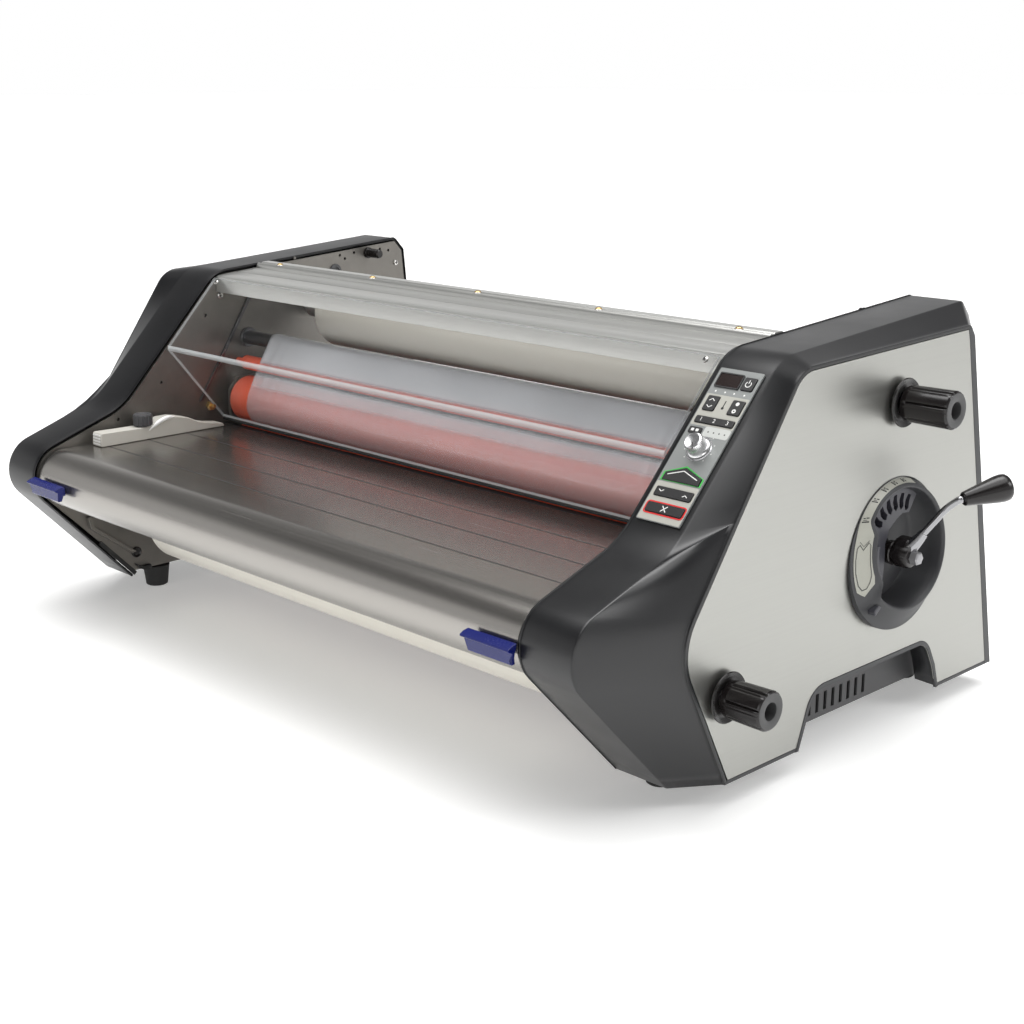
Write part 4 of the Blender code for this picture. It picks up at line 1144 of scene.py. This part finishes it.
def dial_floor():
    """The land at the bowl's front and top, with its detent pockets, and the ridge beside it."""
    land = [on_dial(bowl_edge(float(degrees), 1.2)) for degrees in range(56, 229, 4)]
    land += [(-24.0, -38.0), (-20.0, -33.0), (-14.5, -20.0), (-13.2, -4.0), (-14.0, 10.0), (-9.0, 22.0)]
    land += [(1.0, 29.0), (10.0, 33.0), (20.0, 32.0)]
    pocket = ((6.5, 2.6), (12.0, 4.4), (18.0, 3.0), (21.0, 0.0), (18.0, -3.4), (12.0, -1.6), (6.5, -2.0))
    pockets = []
    for index in range(6):
        middle = 138.0 - 14.0 * index
        across = Vector((-math.sin(math.radians(middle)), math.cos(math.radians(middle))))
        loop = []
        for reach, wide in pocket:
            u, v = on_dial(bowl_edge(middle, reach))
            loop.append((u + across.x * wide, v + across.y * wide))
        pockets.append(loop)
    flat("dial_land", DIAL, [land] + pockets, -12.6, 1.0, SLATE, "casing", 0.8)
    ridge = [on_dial(bowl_edge(168.0 + 3.0 * n, 0.4)) for n in range(18)]
    ridge += [on_dial(bowl_edge(219.0 - 3.0 * n, 4.4)) for n in range(18)]
    flat("dial_ridge", DIAL, [ridge], -9.0, 8.6, SLATE, "casing", 1.6)


def dial_markings():
    """Generic scale marks on one pale patch of the sloping face, and an outlined sign on another."""
    rows = []
    for index in range(41):
        degrees = 158.0 - 85.0 * index / 40
        rows.append([(0.10 + 0.82 * t / 4, degrees) for t in range(5)])
    cone_patch("dial_scale", rows, DIAL_LABEL)
    rows = []
    for index in range(31):
        degrees = 157.0 + 51.0 * index / 30
        end = max(index - 26, 0) / 4
        low, high = 0.10 + 0.22 * end, 0.80 - 0.30 * end
        rows.append([(low + high * t / 4, degrees + 2.0 * end * (1 - t / 4)) for t in range(5)])
    cone_patch("dial_label", rows, DIAL_LABEL, 0.22)
    sign = [
        (0.22, 166.5), (0.32, 164.0), (0.50, 169.0), (0.72, 163.0), (0.82, 166.0), (0.83, 176.0),
        (0.82, 186.0), (0.80, 197.0), (0.66, 202.5), (0.48, 205.0), (0.30, 203.0), (0.21, 197.0),
        (0.18, 186.0), (0.19, 176.0), (0.22, 166.5),
    ]
    cone_line("dial_sign_line", sign, 0.9, INK, 0.4)
    cone_line("dial_sign_notch", [(0.30, 161.4), (0.50, 165.8), (0.74, 160.8)], 0.5, INK, 0.34)
    strokes = ((0.22, 0.78, 0.0), (0.26, 0.44, 3.0), (0.50, 0.74, 3.2))
    for index, middle in enumerate((146.0, 127.0, 113.0, 100.0, 88.0)):
        for part, (start, stop, shift) in enumerate(strokes):
            line = [(start, middle - shift), (stop, middle - shift)]
            cone_line(f"dial_tick_{index}_{part}", line, 1.3, INK, 0.2)
        cone_line(f"dial_mark_{index}", [(0.30, middle - 1.6), (0.62, middle - 1.6)], 0.5, INK, 0.2)


def dial():
    dial_shell()
    dial_floor()
    dial_markings()
    tab = [(-45.0, -40.4), (-38.0, -36.0), (-34.5, -38.2), (-43.0, -44.6)]
    flat("dial_stop", DIAL, [tab], 4.0, 14.6, SLATE, "casing", 1.2)
    pocket = [(-35.6, -37.0), (-28.0, -33.0), (-21.6, -34.6), (-24.0, -39.0), (-33.0, -41.0)]
    flat("dial_pocket", DIAL, [pocket], 0.9, 2.4, INK, "casing", 0.4)


def crank():
    axis = Plane((0, *CRANK), (0, 1, 0), (0, 0, 1))
    hub = [
        (431.0, 0.0), (431.0, 11.6), (433.0, 11.8), (434.6, 11.0), (436.0, 9.4), (440.0, 9.2),
        (441.0, 10.2), (446.0, 10.6), (447.0, 9.8), (450.0, 9.8), (451.0, 10.8), (461.6, 10.6),
        (463.4, 9.4), (463.8, 7.6), (463.8, 0.0),
    ]
    turned("crank_hub", axis, (0.0, 0.0), hub, GLOSS_BLACK, "crank", 48, stands_for=("crank_lever",))
    clamp = [(-8.0, -7.6), (8.6, -7.6), (10.6, -2.0), (13.0, 8.0), (7.0, 15.5), (-3.0, 14.0), (-9.6, 4.0)]
    flat("crank_clamp", axis, [clamp], 447.6, 461.0, GLOSS_BLACK, "crank", 2.2)
    bolt = [(463.0, 0.0), (463.0, 6.0), (469.6, 6.0), (470.8, 5.0), (471.2, 3.6), (471.2, 0.0)]
    turned("crank_bolt", axis, (0.6, -0.8), bolt, SATIN, "crank", 6, smooth_angle=20.0)
    socket = smooth_path([
        (455.6, 95.8, 148.0), (460.0, 97.6, 153.4), (464.6, 100.0, 159.6), (468.6, 102.4, 166.4),
    ], 6)
    radii = [8.0 - 4.0 * (index / (len(socket) - 1)) ** 0.9 for index in range(len(socket))]
    swept("crank_socket", socket, radii, CHROME, "crank", 28)
    grip_start, grip_end = Vector((491.2, 123.2, 196.4)), Vector((511.0, 160.0, 204.5))
    along = (grip_end - grip_start).normalized()
    rod = smooth_path([
        (462.0, 98.8, 156.6), (468.0, 102.2, 165.8), (474.2, 109.0, 176.6), (480.2, 115.6, 187.0),
        grip_start - along * 4.6, grip_start - along * 0.4,
    ], 8)
    swept("crank_rod", rod, [3.15] * len(rod), CHROME, "crank", 24)
    grip = [
        (0.0, 0.0), (0.0, 5.0), (0.7, 5.9), (3.0, 6.4), (14.0, 8.4), (25.0, 10.4), (32.0, 11.6),
        (37.0, 12.0), (40.4, 11.6), (42.4, 10.2), (43.6, 7.8), (44.0, 5.0), (43.4, 3.0), (42.6, 2.4),
        (42.6, 0.0),
    ]
    side = along.orthogonal().normalized()
    turned("crank_handle", Plane(grip_start, side, along.cross(side)), (0.0, 0.0), grip, GLOSS_BLACK,
           "crank", 48, stands_for=("crank_grip",))


def tension_knob(label, centre, end):
    """A fluted film brake knob with a hollow nose, in a dished flange."""
    plane = Plane((PANEL_X, *centre), (0, 1, 0), (0, 0, 1))
    nose = end - PANEL_X
    body = label + "_knob"
    flange = [
        (0.35, 9.4), (0.35, 16.2), (2.4, 18.4), (4.6, 20.8), (5.4, 21.0), (6.2, 20.5), (6.0, 19.6),
        (4.2, 17.4), (3.4, 15.4), (3.2, 9.4),
    ]
    turned(label + "_flange", plane, (0.0, 0.0), flange, GLOSS_BLACK, "casing", 72, closed=True,
           stands_for=(label + "_knob_flange",))

    def fluted(angle, along, reach):
        if 12.5 < along < nose - 1.2 and reach > 9.0:
            groove = 1.9 * max(0.0, math.cos(6.5 * angle)) ** 14
            return reach - groove - 0.5 * max(0.0, math.sin(6.5 * angle)) ** 20
        return reach

    profile = [
        (7.3, 0.0), (7.3, 13.6), (8.4, 14.8), (12.0, 15.1), (13.0, 15.5), (14.0, 15.6),
        (nose - 6.0, 16.1), (nose - 1.9, 16.2), (nose - 0.5, 15.2), (nose, 14.2),
    ]
    turned(label + "_brake_knob", plane, (0.0, 0.0), profile, GLOSS_BLACK, body, 208, ripple=fluted,
           stands_for=(label + "_tension_knob",))
    face = [
        (nose - 0.4, 14.8), (nose, 14.3), (nose + 0.05, 8.0), (nose - 0.4, 7.3), (nose - 11.0, 6.6),
        (nose - 11.0, 0.0),
    ]
    turned(label + "_knob_face", plane, (0.0, 0.0), face, CAP, body, 64)


# ---------------------------------------------------------------- controls
RUN_SHAPE = [(371.6, -97.6), (388.4, -91.2), (407.6, -97.8), (407.8, -104.4), (371.4, -104.4)]
KEYS = {  # key: (x low, x high, start, end) down the slope
    "power_key": (396.2, 407.6, 2.0, 14.2),
    "temperature_key": (371.4, 382.6, 23.4, 37.2),
    "speed_step_key": (396.4, 408.2, 24.2, 37.8),
    "preset_key": (370.6, 408.6, 43.0, 49.2),
    "reverse_key": (371.4, 408.0, 110.8, 119.0),
    "stop_key": (371.4, 408.0, 125.6, 133.8),
}
ALL_KEYS = [*KEYS, "run_key"]
PLATE_TOP, KEY_TOP, KEY_GAP, PRINT = 1.85, 2.9, 0.45, 0.05


def key_loop(name, grow=0.0):
    if name == "run_key":
        middle = Vector((389.6, -99.6))
        points = [Vector(point) for point in RUN_SHAPE]
        return [tuple(point + (point - middle).normalized() * grow * 1.2) for point in points]
    low, high, start, end = KEYS[name]
    return rounded_box((low - grow, -end - grow), (high + grow, -start + grow), 1.2 + grow, 3)


def on_key(name, mark, loops, material=MARK):
    flat(f"{name}_{mark}", SLOPE, loops, KEY_TOP, KEY_TOP + 0.06, material, name + "_body")


def key_line(name, mark, points, width=0.7, material=MARK):
    on_key(name, mark, [stroke(points, width)], material)


def on_plate(name, loops, material, low=PLATE_TOP, high=PLATE_TOP + PRINT, bevel=0.0):
    flat(name, SLOPE, loops, low, high, material, "casing", bevel)


def control_plate():
    holes = [key_loop(name, KEY_GAP) for name in ALL_KEYS]
    edge = rounded_box((367.3, -141.4), (410.8, 3.8), 1.0, 3)
    flat("control_label", SLOPE, [edge] + holes, 0.35, PLATE_TOP, LABEL_GREY, "casing", 0.15,
         ("control_plate",))
    holes = [key_loop(name, KEY_GAP) for name in ("temperature_key", "speed_step_key", "preset_key")]
    middle = rounded_box((368.0, -51.6), (410.1, -21.4), 1.0, 2)
    on_plate("label_middle", [middle] + holes, LABEL_PALE)
    top = PLATE_TOP + PRINT
    strip = rounded_box((384.4, -60.4), (409.6, -51.2), 2.0, 3)
    on_plate("label_strip", [strip], STRIP, top, top + 0.06)
    holes = [key_loop(name, KEY_GAP) for name in ("reverse_key", "stop_key")]
    lower = rounded_box((368.0, -140.8), (410.1, -106.0), 1.0, 2)
    on_plate("label_lower", [lower] + holes, LABEL_PALE)
    for name, material in (("run_key", GREEN), ("stop_key", RED)):
        loops = [key_loop(name, 1.7), key_loop(name, 0.5)]
        on_plate(name + "_outline", loops, material, PLATE_TOP, PLATE_TOP + 0.35, 0.1)
    for index in range(4):
        dot = circle((389.0 + index * 5.4, -56.0), 0.7, 12)
        on_plate(f"strip_mark_{index}", [dot], INK, top + 0.06, top + 0.1)
    for index in range(9):
        u, v = polar(13.4, 225.0 - 270.0 * index / 8)
        on_plate(f"dial_dot_{index}", [circle((389.5 + u, -72.0 + v), 0.45, 10)], MARK)
    for index, u in enumerate((374.5, 384.0, 393.0, 403.0)):
        on_plate(f"status_mark_{index}", [circle((u, -18.4), 0.8, 12)], MARK)
    bulb = (389.6, -33.0)
    on_plate("heat_mark_bulb", [circle(bulb, 1.3, 12)], INK, top, top + 0.04)
    on_plate("heat_mark_stem", [stroke([bulb, (389.6, -26.0)], 1.0)], INK, top, top + 0.04)


def display():
    edge = rounded_box((370.4, -14.6), (394.6, -0.6), 1.0, 3)
    inner = rounded_box((371.4, -13.6), (393.6, -1.6), 0.6, 3)
    on_plate("display_bezel", [edge, inner], KEY, PLATE_TOP, KEY_TOP, 0.2)
    flat("display_glass", SLOPE, [inner], PLATE_TOP, 2.5, GLASS, "casing", stands_for=("display_window",))


def keys():
    for name in ALL_KEYS:
        flat(name + "_cap", SLOPE, [key_loop(name)], 1.0, KEY_TOP, KEY, name + "_body", 0.45, (name,))
    key_line("power_key", "ring", arc((401.9, -8.4), 2.6, 130.0, 410.0, 20))
    key_line("power_key", "bar", [(401.9, -7.6), (401.9, -4.4)])
    for name in ("temperature_key", "speed_step_key"):
        low, high, start, end = KEYS[name]
        middle = -(start + end) / 2
        key_line(name, "split", [(low + 0.6, middle), (high - 0.6, middle)], 0.5, INK)
    key_line("temperature_key", "up", [(374.4, -28.2), (377.0, -26.2), (379.6, -28.2)])
    key_line("temperature_key", "down", [(374.4, -32.6), (377.0, -34.6), (379.6, -32.6)])
    on_key("speed_step_key", "sun", [circle((402.3, -27.6), 1.7, 16)])
    on_key("speed_step_key", "gear", [circle((402.3, -34.4), 1.9, 16), circle((402.3, -34.4), 0.8, 12)])
    for index, u in enumerate((376.6, 389.6, 402.6)):
        numeral(f"preset_numeral_{index}", str(index + 1), SLOPE, (u, -46.2), 5.0, KEY_TOP, MARK,
                "preset_key_body")
    for index, u in enumerate((383.2, 396.0)):
        key_line("preset_key", f"split_{index}", [(u, -43.6), (u, -48.6)], 0.5, INK)
    key_line("run_key", "chevron", [(374.6, -99.6), (388.4, -94.2), (404.4, -99.8)], 0.8)
    key_line("reverse_key", "down", [(375.0, -113.6), (377.4, -115.2), (379.8, -113.6)])
    key_line("reverse_key", "up", [(399.2, -116.2), (401.6, -114.6), (404.0, -116.2)])
    key_line("stop_key", "cross_a", [(386.9, -132.2), (391.9, -127.2)], 0.8)
    key_line("stop_key", "cross_b", [(386.9, -127.2), (391.9, -132.2)], 0.8)
    small = rounded_box((370.2, -59.6), (382.8, -53.6), 1.2, 3)
    on_plate("mode_key", [small], KEY, PLATE_TOP, KEY_TOP, 0.4)
    for index, u in enumerate((374.2, 378.8)):
        mark = rounded_box((u - 1.4, -57.8), (u + 1.4, -55.4), 0.4, 2)
        on_plate(f"mode_mark_{index}", [mark], MARK, KEY_TOP, KEY_TOP + 0.06)


def speed_dial():
    place = (389.5, -72.0)
    profile = [
        (2.2, 0.0), (2.2, 9.5), (3.4, 9.7), (4.2, 9.0), (4.6, 8.4), (12.6, 8.0), (13.6, 7.4), (14.0, 6.4),
        (13.7, 5.4), (13.4, 0.0),
    ]

    def knurled(angle, along, reach):
        return reach - (0.22 * (0.5 + 0.5 * math.cos(36 * angle)) if 4.4 < along < 12.8 else 0.0)

    turned("speed_dial_cap", SLOPE, place, profile, SILVER, "speed_dial", 144, ripple=knurled,
           stands_for=("speed_knob",))
    pointer = stroke([(389.9, -73.0), (393.6, -79.0)], 1.2)
    flat("speed_dial_pointer", SLOPE, [pointer], 13.4, 13.9, INK, "speed_dial")
    ring = [circle(place, 11.6, 48), circle(place, 10.2, 48)]
    on_plate("speed_dial_ring", ring, SILVER, PLATE_TOP, 2.1)


for cover_label, cover_side in SIDES:
    cover(cover_label, cover_side)
    panel(cover_label, cover_side)
    arch_liner(cover_label, cover_side)
    bottom_rim(cover_label, cover_side)
    rear_rim(cover_label, cover_side)
    side_plate(cover_label, cover_side)
plate_details()
base()
rear_details()
top_bars()
rollers()
drive()
supply("upper", UPPER_SUPPLY, 40.0)
supply("lower", LOWER_SUPPLY, 46.5)
film()
table()
guide()
latch("left", -1.0, 297.0, 356.0)
latch("right", 1.0, 308.0, 361.0)
shield()
dial()
crank()
tension_knob("upper", UPPER_SUPPLY, 497.0)
tension_knob("lower", LOWER_SUPPLY, 490.0)
control_plate()
display()
keys()
speed_dial()


# ---------------------------------------------------------------- stage, light and camera
def stage():
    """A pale floor, and a sky with a dark band between bright ones for the metal to mirror."""
    bpy.context.scene.view_settings.view_transform = "Standard"
    bpy.ops.mesh.primitive_plane_add(size=60.0, location=(0.0, 0.0, 0.0))
    floor = bpy.context.object
    floor.name = "floor"
    glow = {"Emission Color": (1.0, 1.0, 0.99, 1.0), "Emission Strength": 0.30}
    floor.data.materials.append(
        look("floor_paint", (0.84, 0.84, 0.835), 0.7, drift=0.004, drift_size=400.0, sockets=glow))
    world = bpy.data.worlds.new("studio")
    bpy.context.scene.world = world
    world.use_nodes = True
    nodes, links = world.node_tree.nodes, world.node_tree.links
    sky = nodes["Background"]
    sky.inputs["Color"].default_value = WHITE_LIGHT
    coordinates = add_node(nodes, "TexCoord")
    split = add_node(nodes, "SeparateXYZ")
    bands = grey_ramp(nodes, 0.25, 1.0, ((0.38, 0.25), (0.53, 0.035), (0.77, 0.035), (0.88, 1.0)))
    brighter = add_node(nodes, "Math", {1: 2.9}, "MULTIPLY")
    links.new(coordinates.outputs["Generated"], split.inputs["Vector"])
    links.new(split.outputs["Z"], bands.inputs["Fac"])
    links.new(bands.outputs["Color"], brighter.inputs[0])
    links.new(brighter.outputs[0], sky.inputs["Strength"])
    paper = add_node(nodes, "Background", {"Strength": 1.0, "Color": WHITE_LIGHT})
    path = add_node(nodes, "LightPath")
    choose = add_node(nodes, "MixShader")
    links.new(path.outputs["Is Camera Ray"], choose.inputs["Fac"])
    links.new(sky.outputs["Background"], choose.inputs[1])
    links.new(paper.outputs["Background"], choose.inputs[2])
    links.new(choose.outputs["Shader"], nodes["World Output"].inputs["Surface"])


def soft_light(name, place, target, width, height, power):
    data = bpy.data.lights.new(name, "AREA")
    data.shape = "RECTANGLE"
    data.size = width
    data.size_y = height
    data.energy = power
    lamp = bpy.data.objects.new(name, data)
    bpy.context.scene.collection.objects.link(lamp)
    lamp.location = place
    lamp.rotation_euler = (Vector(target) - Vector(place)).to_track_quat("-Z", "Y").to_euler()


def camera():
    data = bpy.data.cameras.new("camera")
    data.lens = 57.82
    data.sensor_width = 36.0
    data.clip_end = 50.0
    eye = bpy.data.objects.new("camera", data)
    bpy.context.scene.collection.objects.link(eye)
    eye.location = (1.14295, -1.07435, 0.5663)
    eye.rotation_euler = (math.radians(74.85), 0.0, math.radians(45.74))
    bpy.context.scene.camera = eye


stage()
soft_light("key", (2.3, -2.0, 0.9), (0.2, 0.0, 0.15), 1.4, 1.0, 7.0)
soft_light("side", (2.4, 1.1, 1.7), (0.4, 0.0, 0.15), 1.0, 1.0, 20.0)
soft_light("top", (-0.3, 0.2, 2.6), (0.0, 0.0, 0.2), 2.4, 1.2, 34.0)
camera()
